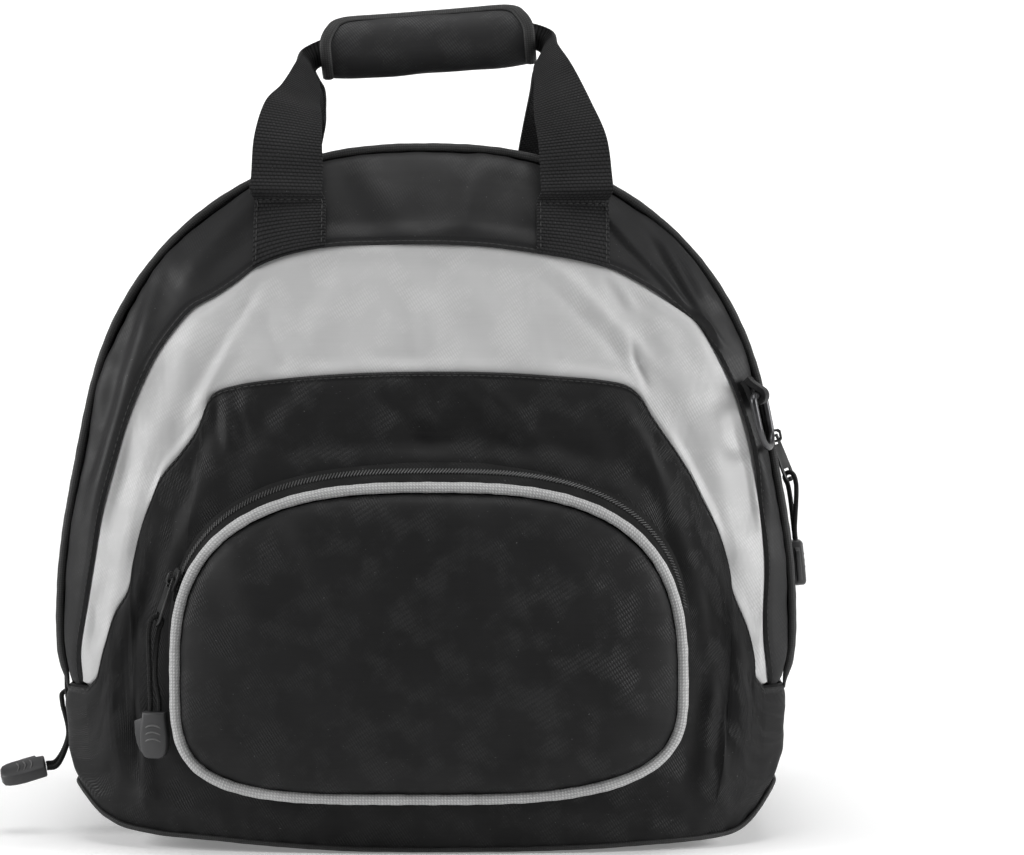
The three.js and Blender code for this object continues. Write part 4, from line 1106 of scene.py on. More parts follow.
# %% Lower panel outline
BASE = dict(lift=29, inset=1.6, hem=4.8)
TURN_UNDER = 0.54
SEAM_TUCK = 0.8
LOWER_CREASES = [
    (-16, 238, 2, 220, 5, 1.7), (24, 240, 48, 216, 5, 1.7), (40, 226, 62, 206, 6, 1.2),
    (-60, 236, -84, 206, 8, 1.2), (98, 226, 122, 190, 7, 1.4), (-100, 222, -122, 176, 8, 1.3),
    (-108, 238, -104, 214, 3, 1.4), (-97, 238, -92, 218, 3, 1.2),
    (156, 74, 146, 42, 7, 2.0), (166, 60, 158, 30, 6, 1.4), (-160, 66, -150, 34, 8, 1.6),
    (-55, 8, -20, 7, 4, -1.4), (60, 10, 120, 14, 5, -0.9), (134, 170, 150, 128, 7, 0.9),
    (-134, 172, -150, 130, 7, 0.8), (-112, 20, -150, 26, 5, 0.9),
    (-62, 208, 0, 213, 8, -2.4), (0, 213, 62, 209, 8, -2.6), (62, 209, 104, 194, 8, -1.8),
]
LEFT_LIFT = [
    (0, 0), (0.2, 0.3), (0.35, 1.6), (0.48, 3.2), (0.62, 5.2), (0.76, 6.4), (0.87, 8.8), (0.93, 13.4),
    (0.955, 18), (0.98, 24), (1, 29),
]
RIGHT_LIFT = [
    (0, 0), (0.3, 0.3), (0.5, 1.2), (0.63, 2.4), (0.735, 3.1), (0.8, 3.6), (0.87, 4.6), (0.91, 6.2),
    (0.935, 9), (0.957, 13.5), (0.98, 20.5), (1, 29),
]
lift_shares = np.linspace(0, 1, 501)
EVEN_HALF = 8
EVENING = np.exp(-np.linspace(-2, 2, 2 * EVEN_HALF + 1) ** 2)


def eased(table):
    """A table of (share, height) as a smooth curve that keeps its two ends."""
    heights = np.interp(lift_shares, *np.array(table).T)
    before = heights[0] * 2 - heights[EVEN_HALF:0:-1]
    after = heights[-1] * 2 - heights[-2:-EVEN_HALF - 2:-1]
    return np.convolve(np.concatenate([before, heights, after]), EVENING / EVENING.sum(), "valid")


left_lift = eased(LEFT_LIFT)
right_lift = eased(RIGHT_LIFT)


def base_lift(share):
    """Height of the base seam at a share of the half width; the left corner is pulled up more."""
    out = np.clip(np.abs(share), 0, 1)
    left = np.interp(out, lift_shares, left_lift)
    right = np.interp(out, lift_shares, right_lift)
    return np.where(np.asarray(share) < 0, left, right)


def base_hem(share):
    """Height of a panel's hem above the base seam, more where the seam climbs steeply."""
    step = 0.01
    rise = base_lift(share) - base_lift(np.sign(share) * (np.abs(share) - step))
    return BASE["hem"] * np.hypot(1, rise / (step * ARCH["half"]))


print("base seam at the quarter, left and right", base_lift(np.array([-0.5, 0.5])).round(1))

# %% Lower panel
CORNER = dict(steps=14, ease=2.5)
TIP_END = SIDE_SEAM + 0.4
LOWER_ROWS = 66
SIDE_COLUMNS = 45
HEM_LOOSE = (2, 20)
LOWER_STITCH = LAP_STITCH + 1


def corner_shares(seam_end):
    """Shares of the half width from one end of the lower seam out to the side."""
    left_over = 1 - abs(seam_end[0]) / half_width(seam_end[1])
    return 1 - left_over * np.linspace(1, 0, CORNER["steps"] + 1)[1:] ** CORNER["ease"]


seam_share = lower_seam[:, 0] / half_width(lower_seam[:, 1])
left_corner = -corner_shares(lower_seam[0])[::-1]
front_share = np.concatenate([left_corner, seam_share, corner_shares(lower_seam[-1])])
seam_top = np.maximum(lower_seam[:, 1], TIP_END)
corner_top = np.linspace(TIP_END, SIDE_SEAM, CORNER["steps"])
front_top = np.concatenate([corner_top[::-1], seam_top, corner_top])
front_low = base_lift(front_share) + base_hem(front_share) * (1 - TURN_UNDER)
down = fold_shares(front_top - front_low, LOWER_ROWS)
front_z = front_top[None] - down
front_x = front_share[None] * half_width(front_z)
front_part = on_front(front_x, front_z)

side_steps = np.linspace(0, 1, SIDE_COLUMNS + 1)[1:]
side_drop = SIDE_SEAM - BASE["lift"] - BASE["hem"] * (1 - TURN_UNDER)
side_z = SIDE_SEAM - fold_shares(np.full(len(side_steps), side_drop), LOWER_ROWS)
side_front = edge_y(FRONT, side_z)
side_y = side_front + (edge_y(BACK, side_z) + SEAM_TUCK - side_front) * side_steps[None]
side_x = half_width(side_z) + SIDE_BULGE * np.sin(math.pi * side_steps[None])
right_part = np.stack([side_x, side_y, side_z], axis=-1)
left_part = (right_part * np.array([-1, 1, 1]))[:, ::-1]
skirt = taken_in(np.concatenate([left_part, front_part, right_part], axis=1))
skirt_down = np.concatenate([SIDE_SEAM - side_z[:, ::-1], down, SIDE_SEAM - side_z], axis=1)
girth = run_along(skirt, 1)
girth -= girth[:, skirt.shape[1] // 2][:, None]
skirt_uv = np.stack([girth, skirt[..., 2]], axis=-1)
seam_away = np.minimum(away_from(lower_seam, skirt[..., 0], skirt[..., 2]), skirt_down)
folds = creases(girth, skirt[..., 2], LOWER_CREASES)
folds += ripples(girth, skirt[..., 2], size=64, height=0.5, seed=11)
folds += ripples(girth, skirt[..., 2], size=23, height=0.12, seed=12)
height = folded_lift(skirt_down) + folds * (0.2 + 0.8 * ramp(seam_away, 1, 10))
height += stitch_groove(skirt, 0, 0, LOWER_STITCH)
height += seam_dip(skirt, 0, 1, dip=1.4, width=4, pucker=0.4, seed=2)
hem_away, _ = from_edge(skirt, 0, 1)
loose = ramp(seam_away, *LOOSE) * ramp(hem_away, *HEM_LOOSE)
move = settled(skirt, step=4.2, slack=0.006, swell=0.6, cap=2.8) * loose[..., None]
lower_panel, lower_grid = lay_cloth("lower_panel", skirt, skirt_uv, height, THICK["shell"], move)
dress(lower_panel, black_cloth, "black_cloth", "front_lower_panel")
stitch_run("lower_panel_stitches", [edge_line(lower_grid, 0, 0, LOWER_STITCH)])

# %% [markdown]
# ## Sides, back and base
#
# The gusset runs over the top in two strips with the main zip between them. The back is one plain
# panel, and the base closes the bottom. They could be one shell with lines drawn on it, but cut panels
# dip into their seams as sewn ones do. They use the same helpers as the front: a grid on the body, dips
# at the seams and soft unevenness.

# %% Gusset strips
GUSSET = dict(columns=301, limit=1.012, lap=1.5, stitch=3.2, end_dip=1.8, end_width=6)
q = even_stations(GUSSET["columns"], GUSSET["limit"])
zip_front = ZIP["at"] - ZIP["half"]
zip_back = ZIP["at"] + ZIP["half"]
rim = rim_at(q)
depth = edge_y(BACK, rim[:, 1]) - edge_y(FRONT, rim[:, 1])


def gusset_strip(name, start, stop, rows, seed, node):
    share = np.linspace(0, 1, rows)[:, None]
    start, stop = np.broadcast_to(start, q.shape), np.broadcast_to(stop, q.shape)
    behind = start[None] + (stop - start)[None] * share
    strip = taken_in(on_gusset(np.broadcast_to(q, behind.shape), behind))
    run = np.broadcast_to(run_along(strip, 1)[:1], behind.shape)
    height = seam_dip(strip, 0, 0, dip=0.9, width=3, pucker=0.25, seed=seed)
    height += seam_dip(strip, 0, 1, dip=0.9, width=3, pucker=0.25, seed=seed + 1)
    height += ripples(run, behind, size=70, height=0.5, seed=seed + 20)
    low_end = np.minimum(*[from_edge(strip, 1, end)[0] for end in (0, 1)])
    height -= GUSSET["end_dip"] * np.exp(-(low_end / GUSSET["end_width"]) ** 2)
    move = settled(strip, step=4.0, slack=0.005, swell=0.4, cap=2.0)
    piece, raised = lay_cloth(name, strip, np.stack([behind, run], axis=-1), height, THICK["shell"], move)
    dress(piece, charcoal_cloth, "charcoal_cloth", node)
    return raised


front_strip = gusset_strip("gusset_front", -SEAM_TUCK, zip_front + GUSSET["lap"],
                           rows=18, seed=3, node="gusset_front_strip")
rear_strip = gusset_strip("gusset_rear", zip_back - GUSSET["lap"], depth + SEAM_TUCK,
                          rows=40, seed=4, node="gusset_rear_strip")
zip_sides = [edge_line(front_strip, 0, 1, GUSSET["stitch"]), edge_line(rear_strip, 0, 0, GUSSET["stitch"])]
stitch_run("gusset_stitches", zip_sides, "charcoal_cloth")

# %% Back panel
BACK_LIMIT = 0.995
BACK_GRID = dict(columns=121, rows=91)
BACK_CREASES = [(-40, 250, 30, 190, 14, 1.2), (60, 120, 110, 60, 12, 1.2), (-110, 140, -70, 60, 13, 1.1)]
share = BACK_LIMIT * np.sin(np.linspace(-math.pi / 2, math.pi / 2, BACK_GRID["columns"]))
left_over = BACK_LIMIT ** ARCH["power"] - np.minimum(BACK_LIMIT, np.abs(share)) ** ARCH["power"]
high = ARCH["shoulder"] + ARCH["rise"] * np.clip(left_over, 0, 1) ** (1 / ARCH["power"])
low = base_lift(share) + base_hem(share) * (1 - TURN_UNDER)
z = low[None] + (high - low)[None] * np.linspace(0, 1, BACK_GRID["rows"])[:, None]
x = share[None] * side_width(z)
rear = on_back(x, z)
height = creases(x, z, BACK_CREASES) + ripples(x, z, size=80, height=0.6, seed=31)
height += seam_dip(rear, 0, 1, dip=0.8, width=4, pucker=0.3, seed=5)
height += seam_dip(rear, 0, 0, dip=1.0, width=5, pucker=0.4, seed=6)
move = settled(rear, step=5.0, slack=0.005, swell=0.5, cap=3.0)
back_panel, back_grid = lay_cloth("back_cloth", rear, np.stack([x, z], axis=-1), height, THICK["shell"], move)
dress(back_panel, black_cloth, "black_cloth", "back_panel")

# %% Base panel
BASE_GRID = dict(columns=141, rows=71)
FLOOR_WAVE = 0.4
base_share = np.sin(np.linspace(-math.pi / 2, math.pi / 2, BASE_GRID["columns"]))
z = base_lift(base_share)
out_x = base_share * half_width(z)
x = out_x - base_share * BASE["inset"]
start = face_y(FRONT, out_x, z) + BASE["inset"]
stop = face_y(BACK, out_x, z) - BASE["inset"]
share = np.linspace(0, 1, BASE_GRID["rows"])[:, None]
y = start[None] + (stop - start)[None] * share
floor_grid = np.stack([np.broadcast_to(x, y.shape), y, np.broadcast_to(z, y.shape)], axis=-1)
waves = ripples(floor_grid[..., 0], y, size=70, height=FLOOR_WAVE, seed=41)
height = np.minimum(0, waves - FLOOR_WAVE)
height += seam_dip(floor_grid, 0, 0, dip=0.5, width=5) + seam_dip(floor_grid, 0, 1, dip=0.5, width=5)
base_cloth, _ = lay_cloth("base_cloth", floor_grid, floor_grid[..., :2], height, THICK["base"])
dress(base_cloth, black_cloth, "black_cloth", "base_panel")

# %% [markdown]
# ## Piping
#
# The seams are edged with cord inside a folded strip of bias tape. A bevelled curve would give such a
# tube too, but a grid of rings also carries the slanted threads along it. The radius wanders a little, as
# it does where the tape was gathered round a curve, and an open end tapers into its seam.

# %% Piping round the seams
PIPING = dict(rim=2.2, back=2.2, base=1.3, pocket=2.8, forward=2.8, above=0.6, sides=14)
PIPE_END = dict(least=0.35, length=14)
PIPE_POINTS = dict(rim=600, back=700, base=640, pocket=700)
FLIP_X = np.array([-1, 1, 1])


def piping(name, line, radius, finish, slot, node, aim, closed=False):
    run = np.concatenate([[0], np.cumsum(np.linalg.norm(np.diff(line, axis=0), axis=1))])
    wander = radius * (1 + 0.03 * np.sin(run / 3.1 + 2 * np.sin(run / 23)) + 0.02 * np.sin(run / 1.4))
    if not closed:
        opening = ramp(np.minimum(run, run[-1] - run), 0, PIPE_END["length"])
        wander = wander * (PIPE_END["least"] + (1 - PIPE_END["least"]) * opening)
    points, uv = rings(line, wander, PIPING["sides"], aim=aim, closed=closed)
    piece = grid_piece(name, points, uv, around=True, closed=closed, caps=not closed, inside=None)
    dress(piece, finish, slot, node, angle=80)


q = even_stations(PIPE_POINTS["rim"], 1.008)
rim = rim_at(q)
rim_line = np.stack([rim[:, 0], edge_y(FRONT, rim[:, 1]) - PIPING["forward"], rim[:, 1]], axis=-1)
piping("rim_trim", taken_in(rim_line), PIPING["rim"], black_piping, "black_piping", "rim_piping", (0, 1, 0))

foot_z = np.linspace(BASE["lift"] + BASE["hem"], GUSSET_END, 40)[:-1]
foot = np.stack([half_width(foot_z), edge_y(BACK, foot_z) + PIPING["forward"] / 2, foot_z], axis=-1)
back_rim = np.stack([rim[:, 0], edge_y(BACK, rim[:, 1]) + PIPING["forward"] / 2, rim[:, 1]], axis=-1)
back_line = evenly(np.vstack([foot * FLIP_X, back_rim, foot[::-1]]), PIPE_POINTS["back"])
piping("back_trim", back_line, PIPING["back"], black_piping, "black_piping", "back_piping", (0, 1, 0))

# %% Piping round the base
BASE_STATIONS = 45
SIDE_STATIONS = (-0.6, 0, 0.6)
share = np.sin(np.linspace(-math.pi / 2, math.pi / 2, BASE_STATIONS))
lift = base_lift(share)
x = share * half_width(lift)
z = lift + PIPING["base"] + PIPING["above"]
side_x = float(half_width(BASE["lift"]))
near_side = np.array([(side_x, part * BACK["low"], float(z[-1])) for part in SIDE_STATIONS])
front_edge = np.stack([x, face_y(FRONT, x, lift), z], axis=-1)
back_edge = np.stack([x, face_y(BACK, x, lift), z], axis=-1)
base_points = np.vstack([front_edge, near_side, back_edge[::-1], near_side[::-1] * FLIP_X])
base_line = smooth_loop(base_points, PIPE_POINTS["base"])
piping("base_trim", base_line, PIPING["base"], black_piping, "black_piping", "base_piping", (0, 0, 1),
       closed=True)

# %% [markdown]
# ## Front pocket
#
# The pocket stands off the panel on a slanted wall, which is zip tape over the top and plain cloth
# below. Its face is a rounded cushion of cloth inside a pale piping. A polar grid fits such a face,
# because its rings run parallel to the seam, so the dip and the puckers follow the outline.

# %% Pocket face
POCKET_CREASES = [
    (-60, 168, -44, 138, 9, 1.0), (-38, 160, -20, 128, 8, 0.8), (24, 172, 42, 138, 9, 1.0),
    (60, 168, 84, 140, 8, 0.8), (-96, 152, -84, 120, 9, 0.8), (92, 96, 112, 74, 7, 0.8),
    (-20, 52, 30, 44, 9, 0.7), (-100, 66, -84, 44, 8, 0.7), (70, 52, 100, 60, 8, 0.6),
]
CUSHION = dict(columns=260, lap=1.2, edge=3.2, round=0.6, dip=1.3, dip_width=2.5, pucker=0.3, pucker_fade=9)
angle = np.linspace(0, 2 * math.pi, 241)[:-1]
edge_x, edge_z = pocket_outline(angle, -POCKET["inset"] + CUSHION["lap"])
looped = np.vstack([np.stack([edge_x, edge_z], -1), [[edge_x[0], edge_z[0]]]])
outline = evenly(looped, CUSHION["columns"] + 1)[:-1]
ring_share = np.concatenate([np.linspace(0.02, 0.9, 38), np.linspace(0.9, 1, 13)[1:]])[:, None, None]
middle = np.array([POCKET["x"], POCKET["z"]])
flat = middle + (outline - middle)[None] * ring_share
x, z = flat[..., 0], flat[..., 1]
proud = POCKET["depth"] + POCKET["puff"] * (1 - ring_share[..., 0] ** CUSHION["edge"]) ** CUSHION["round"]
rim_run = run_along(flat, 1)[-1]
rim_away = np.linalg.norm(outline[None] - flat, axis=-1)
pucker = np.sin(rim_run / 2.2 + 2 * np.sin(rim_run / 17))[None] * np.exp(-rim_away / CUSHION["pucker_fade"])
proud = proud + creases(x, z, POCKET_CREASES) + ripples(x, z, size=52, height=0.35, seed=51)
proud += CUSHION["pucker"] * pucker - CUSHION["dip"] * np.exp(-(rim_away / CUSHION["dip_width"]) ** 2)
face = on_front(x, z, proud)
closed_uv = np.concatenate([flat, flat[:, :1]], axis=1)
pocket_face = grid_piece("pocket_cloth", face, closed_uv, around=True)
only(pocket_face)
bpy.ops.object.mode_set(mode="EDIT")
bpy.ops.mesh.select_mode(type="EDGE")
bpy.ops.mesh.select_all(action="DESELECT")
bpy.ops.object.mode_set(mode="OBJECT")
first_ring = set(range(face.shape[1]))
for edge in pocket_face.data.edges:
    edge.select = set(edge.vertices) <= first_ring
bpy.ops.object.mode_set(mode="EDIT")
bpy.ops.mesh.edge_face_add()
bpy.ops.object.mode_set(mode="OBJECT")
thicken(pocket_face, THICK["shell"])
dress(pocket_face, black_cloth, "black_cloth", "pocket_face")

# %% Pocket wall and piping
WALL = dict(columns=221, rows=14, under=0.8, off=0.4, lap=0.02, hollow=0.8)
turn = np.linspace(0, 2 * math.pi, 1201)
line = evenly(on_pocket_wall(turn, POCKET["piping"]), PIPE_POINTS["pocket"] + 1)[:-1]
piping("pocket_trim", line, PIPING["pocket"], grey_piping, "grey_piping", "pocket_piping", (0, -1, 0),
       closed=True)

wall_end = POCKET["zip_end"] + WALL["lap"]
wall_angle = np.linspace(-math.pi - wall_end, wall_end, WALL["columns"])
wall_depth = np.linspace(POCKET["piping"] - WALL["under"], WALL["off"], WALL["rows"])[:, None]
wall_grid = on_pocket_wall(wall_angle[None], wall_depth)
run = np.broadcast_to(run_along(wall_grid, 1)[:1], wall_grid.shape[:2])
height = -WALL["hollow"] * np.sin(math.pi * np.linspace(0, 1, WALL["rows"]))[:, None]
height = height + ripples(run, wall_depth * 3, size=40, height=0.35, seed=61)
wall_uv = np.stack([run, np.broadcast_to(wall_depth, run.shape)], axis=-1)
pocket_wall, _ = lay_cloth("pocket_side", wall_grid, wall_uv, height, THICK["pocket_wall"],
                           inside=POCKET_HEART)
dress(pocket_wall, black_cloth, "black_cloth", "pocket_gusset")

# %% [markdown]
# ## Coil zips
#
# A coil zip is two woven tapes with a nylon spiral sewn along each inner edge. The spirals mesh in the
# middle, so what shows is a row of short bars that all slant one way. Two spirals could be wound and
# meshed, but only their tops show. One bar is modelled and copied along the chain, over a tape that is
# its own strip of cloth.

# %% Zip helper
COIL = dict(pitch=1.62, length=4.6, width=0.66, height=1.2, slant=-0.5, bevel=0.22, proud=0.75)
TAPE = dict(columns=420, rows=13, off=0.1, bulge=0.35, bulge_width=3.2, thick=0.9, heart=40)
bpy.ops.mesh.primitive_cylinder_add(vertices=6, radius=0.5, depth=1, end_fill_type="NGON")
coil_bar = stretched_shape(COIL, COIL["bevel"])
# The coil is coloured lighter than black nylon: a painted highlight on its bars, on top of its own dark
# colour.
nylon = hard_finish("nylon coil", grey(0.05), grey(0.1), (0.35, 0.55), 0.0, 700.0)


def zip_chain(name, at, across, out, half, node):
    """Tape as a strip of cloth and a coil of slanted bars along its middle."""
    frames = evenly(np.hstack([at, across, out]), TAPE["columns"])
    at, across, out = frames[:, :3], unit(frames[:, 3:6]), unit(frames[:, 6:])
    side = np.linspace(-half, half, TAPE["rows"])[:, None]
    tape_grid = at[None] + across[None] * side[..., None] + out[None] * TAPE["off"]
    run = np.broadcast_to(run_along(tape_grid, 1)[TAPE["rows"] // 2], tape_grid.shape[:2])
    tape_uv = np.stack([np.broadcast_to(side, run.shape), run], axis=-1)
    bulge = TAPE["bulge"] * np.exp(-(side / TAPE["bulge_width"]) ** 2)
    heart = (at - out * TAPE["heart"]).mean(axis=0)
    strip = grid_piece(name + "_tape", tape_grid + out[None] * bulge[..., None], tape_uv, inside=heart)
    thicken(strip, TAPE["thick"])
    dress(strip, zip_tape, "zip_chain", node)
    places = []
    for row in evenly(np.hstack([at, across, out]), int(run[0, -1] / COIL["pitch"]) + 1):
        up = unit(row[6:])
        over = unit(row[3:6])
        lie = unit(over + np.cross(up, over) * COIL["slant"])
        places.append((row[:3] + up * COIL["proud"], [lie, np.cross(up, lie), up]))
    dress(copies(name + "_coil", coil_bar, places), nylon, "zip_chain")


print("one coil bar has", len(coil_bar[1]), "faces")

# %% Main zip and pocket zip
q = even_stations(TAPE["columns"])
out = rim_out(q)
out = np.stack([out[:, 0], np.zeros(len(q)), out[:, 1]], axis=-1)
level = np.tile([0.0, 1.0, 0.0], (len(q), 1))
zip_chain("main_zip", taken_in(on_gusset(q, ZIP["at"])), level, out, ZIP["half"], "main_zipper")

TAPE_LAP = 0.6
angle = np.linspace(POCKET["zip_end"], math.pi - POCKET["zip_end"], 400)
at, across, out = pocket_chain(angle)
front_edge = on_pocket_wall(angle, POCKET["wall_front"])
half = float(np.linalg.norm(front_edge - at, axis=1)[0]) + TAPE_LAP
zip_chain("pocket_zip", at, across, out, half, "pocket_zipper")

# %% [markdown]
# ## Handle
#
# Two webbing straps rise from feet sewn to the front and back, gather to half their width and run on
# through a padded wrap. The front feet reach down to the pale band and are caught in its seam. Webbing
# keeps its thickness and folds across its width, so each strap is a grid swept along rows of its own
# width and turn; a flat strip bent by a curve would not gather. The wrap is a rolled pad with a bound
# edge and round upper corners.

# %% Straps
STRAP = dict(width=38, thick=2.4, join_low=348, join_high=414, proud=3.8, caught=2.7, foot_gap=0.6,
             rows=300, curl=0.7, curl_share=0.3, round=0.6)
TILTED_FROM = 0.94
SPAN = dict(front=(3, 74), rear=(-10, 74))
GRIP = dict(x=-1.2, z=423, length=116, radius=17, wall=4, tilt=4.4)
FOOT_Z = (309, 317, 325, 331, 334)
FOOT_TOP = FOOT_Z[-1]
STRAP_ROWS = [
    (339, 1.8, -101.5, 95.5, 37.8, 1), (348, 1.5, -98, 92, 37.5, 2), (366, 0.5, -92, 87, 36, 6),
    (384, -3, -74, 71, 31, 14), (398, -7, -52, 51, 23, 28), (410, -10.5, -28, 28, 18, 46),
    (419, -11, -7.6, 7.6, 13.4, 72), (423, -24, -5.6, 5.6, 14, 88),
]
ACROSS = np.linspace(-0.5, 0.5, 21)


def strap_end(side, middle, half, face):
    """Rows of one end of a strap, from its sewn foot up into the grip."""
    rows = []
    for z in FOOT_Z:
        x = middle + side * (half + ACROSS * STRAP["width"])
        if face == "front":
            seam_z = np.interp(x, upper_seam[:, 0], upper_seam[:, 1])
            drop = (FOOT_TOP - z) / (FOOT_TOP - FOOT_Z[0])
            proud = STRAP["proud"] - STRAP["caught"] * drop ** 2
            rows.append(on_front(x, FOOT_TOP - drop * (FOOT_TOP - seam_z - STRAP["foot_gap"]), proud))
        else:
            rows.append(on_back(x, z, STRAP["proud"]))
    for z, shift, front_y, rear_y, width, turn in STRAP_ROWS:
        gathered = ramp(z, STRAP["join_low"], STRAP["join_high"])
        x = middle + (GRIP["x"] - middle) * gathered + side * (half + shift)
        drift = math.tan(math.radians(GRIP["tilt"])) * (x - GRIP["x"]) if z / GRIP["z"] > TILTED_FROM else 0
        tilt = math.radians(turn)
        y = np.full(len(ACROSS), front_y if face == "front" else rear_y)
        rows.append(np.stack([x + side * ACROSS * width * math.cos(tilt), y,
                              z + drift + ACROSS * width * math.sin(tilt)], axis=-1))
    return np.array(rows)


def strap(name, face, node):
    middle, half = SPAN[face]
    left = strap_end(-1, middle, half, face)
    right = strap_end(1, middle, half, face)[::-1]
    rows = np.concatenate([left, right])
    swept = smooth_line(rows.reshape(len(rows), -1), STRAP["rows"]).reshape(STRAP["rows"], len(ACROSS), 3)
    run = run_along(swept, 0)[:, len(ACROSS) // 2]
    side = ACROSS * STRAP["width"]
    uv = np.stack(np.meshgrid(run, side, indexing="ij")[::-1], axis=-1)
    top = np.exp(-((run - run[-1] / 2) / (STRAP["curl_share"] * run[-1])) ** 2)
    curl = STRAP["curl"] * np.cos(ACROSS * 2 * math.pi)[None] * top[:, None]
    piece = grid_piece(name, swept + normals_of(swept) * curl[..., None], uv)
    thicken(piece, STRAP["thick"])
    round_edges(piece, STRAP["round"])
    dress(piece, black_webbing, "black_webbing", node)
    return swept


front_strap = strap("front_strap", "front", "handle_strap_front")
rear_strap = strap("rear_strap", "rear", "handle_strap_rear")

# %% Strap foot stitching
FOOT_ROWS = 22


def foot_lines(swept):
    """Stitch lines up both sides and across the top of each sewn foot."""
    lines = []
    both = np.concatenate([swept, normals_of(swept)], axis=-1)
    for foot in (both[:FOOT_ROWS], both[::-1][:FOOT_ROWS]):
        for column in (1, -2):
            lines.append((foot[1:, column, :3], foot[1:, column, 3:]))
        lines.append((foot[FOOT_ROWS - 2, 1:-1, :3], foot[FOOT_ROWS - 2, 1:-1, 3:]))
    return lines


all_feet = foot_lines(front_strap) + foot_lines(rear_strap)
stitch_run("strap_foot_stitches", all_feet, "black_webbing", proud=0.2)

# %% Padded grip
WRAP = dict(turns=150, steps=70, start=52, end=436, tuck=4.4, tuck_turn=45, corner=11, end_draw=1.2, sag=0.6,
            degree=0.3, round=0.9, padding=0.4)


def corner_cut(angle):
    """How far each end of the wrap is cut back, most at the top, so that its upper corners are round."""
    return WRAP["corner"] * np.clip(np.sin(angle), 0, 1) ** 2


degrees = np.linspace(WRAP["start"], WRAP["end"], WRAP["turns"])[:, None]
theta = np.radians(degrees)
along = np.linspace(-GRIP["length"] / 2, GRIP["length"] / 2, WRAP["steps"])
share = along / (GRIP["length"] / 2)
spiral = GRIP["radius"] - WRAP["tuck"] * (1 - ramp(degrees, WRAP["start"], WRAP["start"] + WRAP["tuck_turn"]))
radius = spiral - WRAP["end_draw"] * np.abs(share[None]) ** 6
radius = radius + ripples(degrees * WRAP["degree"], along[None], size=34, height=0.3, seed=71)
sag = -WRAP["sag"] * (1 - share ** 2)
lengthwise = along[None] * (1 - 2 * corner_cut(theta) / GRIP["length"])
local = np.stack([lengthwise, -np.cos(theta) * radius, np.sin(theta) * radius + sag[None]], axis=-1)
tilt = np.array(Matrix.Rotation(-math.radians(GRIP["tilt"]), 3, "Y"))
grip_place = np.array([GRIP["x"], 0, GRIP["z"]])
grip_grid = local @ tilt.T + grip_place
grip_uv = np.stack([lengthwise, np.broadcast_to(degrees * WRAP["degree"], radius.shape)], axis=-1)
grip = grid_piece("grip_pad", grip_grid, grip_uv, inside=grip_place)
thicken(grip, GRIP["wall"] - WRAP["padding"])
round_edges(grip, WRAP["round"])
dress(grip, grip_cloth, "black_cloth", "handle_grip")

# %% Grip binding
BIND = dict(width=6.2, height=1.2, low=-70, high=66, corner=10, inset=2.4, turn=14, ease=4, sink=0.1,
            thick=1.0)
DEGREE = np.array([1, WRAP["degree"]])
end_at = GRIP["length"] / 2 - BIND["inset"]
climb = [(-end_at, a) for a in np.linspace(BIND["low"], BIND["high"] - BIND["turn"], 12)]
climb.append((-end_at + BIND["corner"] / 3, BIND["high"] - BIND["ease"]))
level = [(s, BIND["high"]) for s in np.linspace(-end_at + BIND["corner"], end_at - BIND["corner"], 9)]
path = climb + level + [(-s, a) for s, a in climb[::-1]]
path = smooth_line(np.array(path) * DEGREE, 240) / DEGREE
turn = np.radians(path[:, 1])
path[:, 0] *= 1 - 2 * corner_cut(turn) / GRIP["length"]
none = np.zeros(len(path))
out = np.stack([none, -np.cos(turn), np.sin(turn)], axis=-1)
line = out * (GRIP["radius"] - BIND["sink"])
line = line + np.stack([path[:, 0], none, np.interp(path[:, 0], along, sag)], axis=-1)
across = unit(np.cross(out, np.gradient(line, axis=0)))
side = np.linspace(-1, 1, 9)
arch = BIND["height"] * (1 - np.abs(side) ** 3) + BIND["sink"]
tape = line[None] + across[None] * (side * BIND["width"] / 2)[:, None, None] + out[None] * arch[:, None, None]
tape = tape @ tilt.T + grip_place
run = np.broadcast_to(run_along(tape, 1)[4], tape.shape[:2])
tape_uv = np.stack([run, np.broadcast_to((side * BIND["width"] / 2)[:, None], run.shape)], axis=-1)
binding = grid_piece("grip_edge_tape", tape, tape_uv, inside=grip_place)
thicken(binding, BIND["thick"])
dress(binding, black_piping, "black_webbing", "grip_binding")

# %% [markdown]
# ## Strap rings
#
# A steel wire bent to a D hangs from a folded tab in the rim seam. It is modelled as it is bent: a
# round section is spun round the bow, drawn up one leg, spun round a corner, drawn along the straight
# bar and down the other leg, and the ends are merged.

# %% Bent wire ring
RING = dict(lean=12, wire=1.8, half=12, bow=-15.4, corner=4)
RING_PLACES = {"right": ((173.3, -106.9, 233), -18), "left": ((-166, 102.9, 233), 106)}


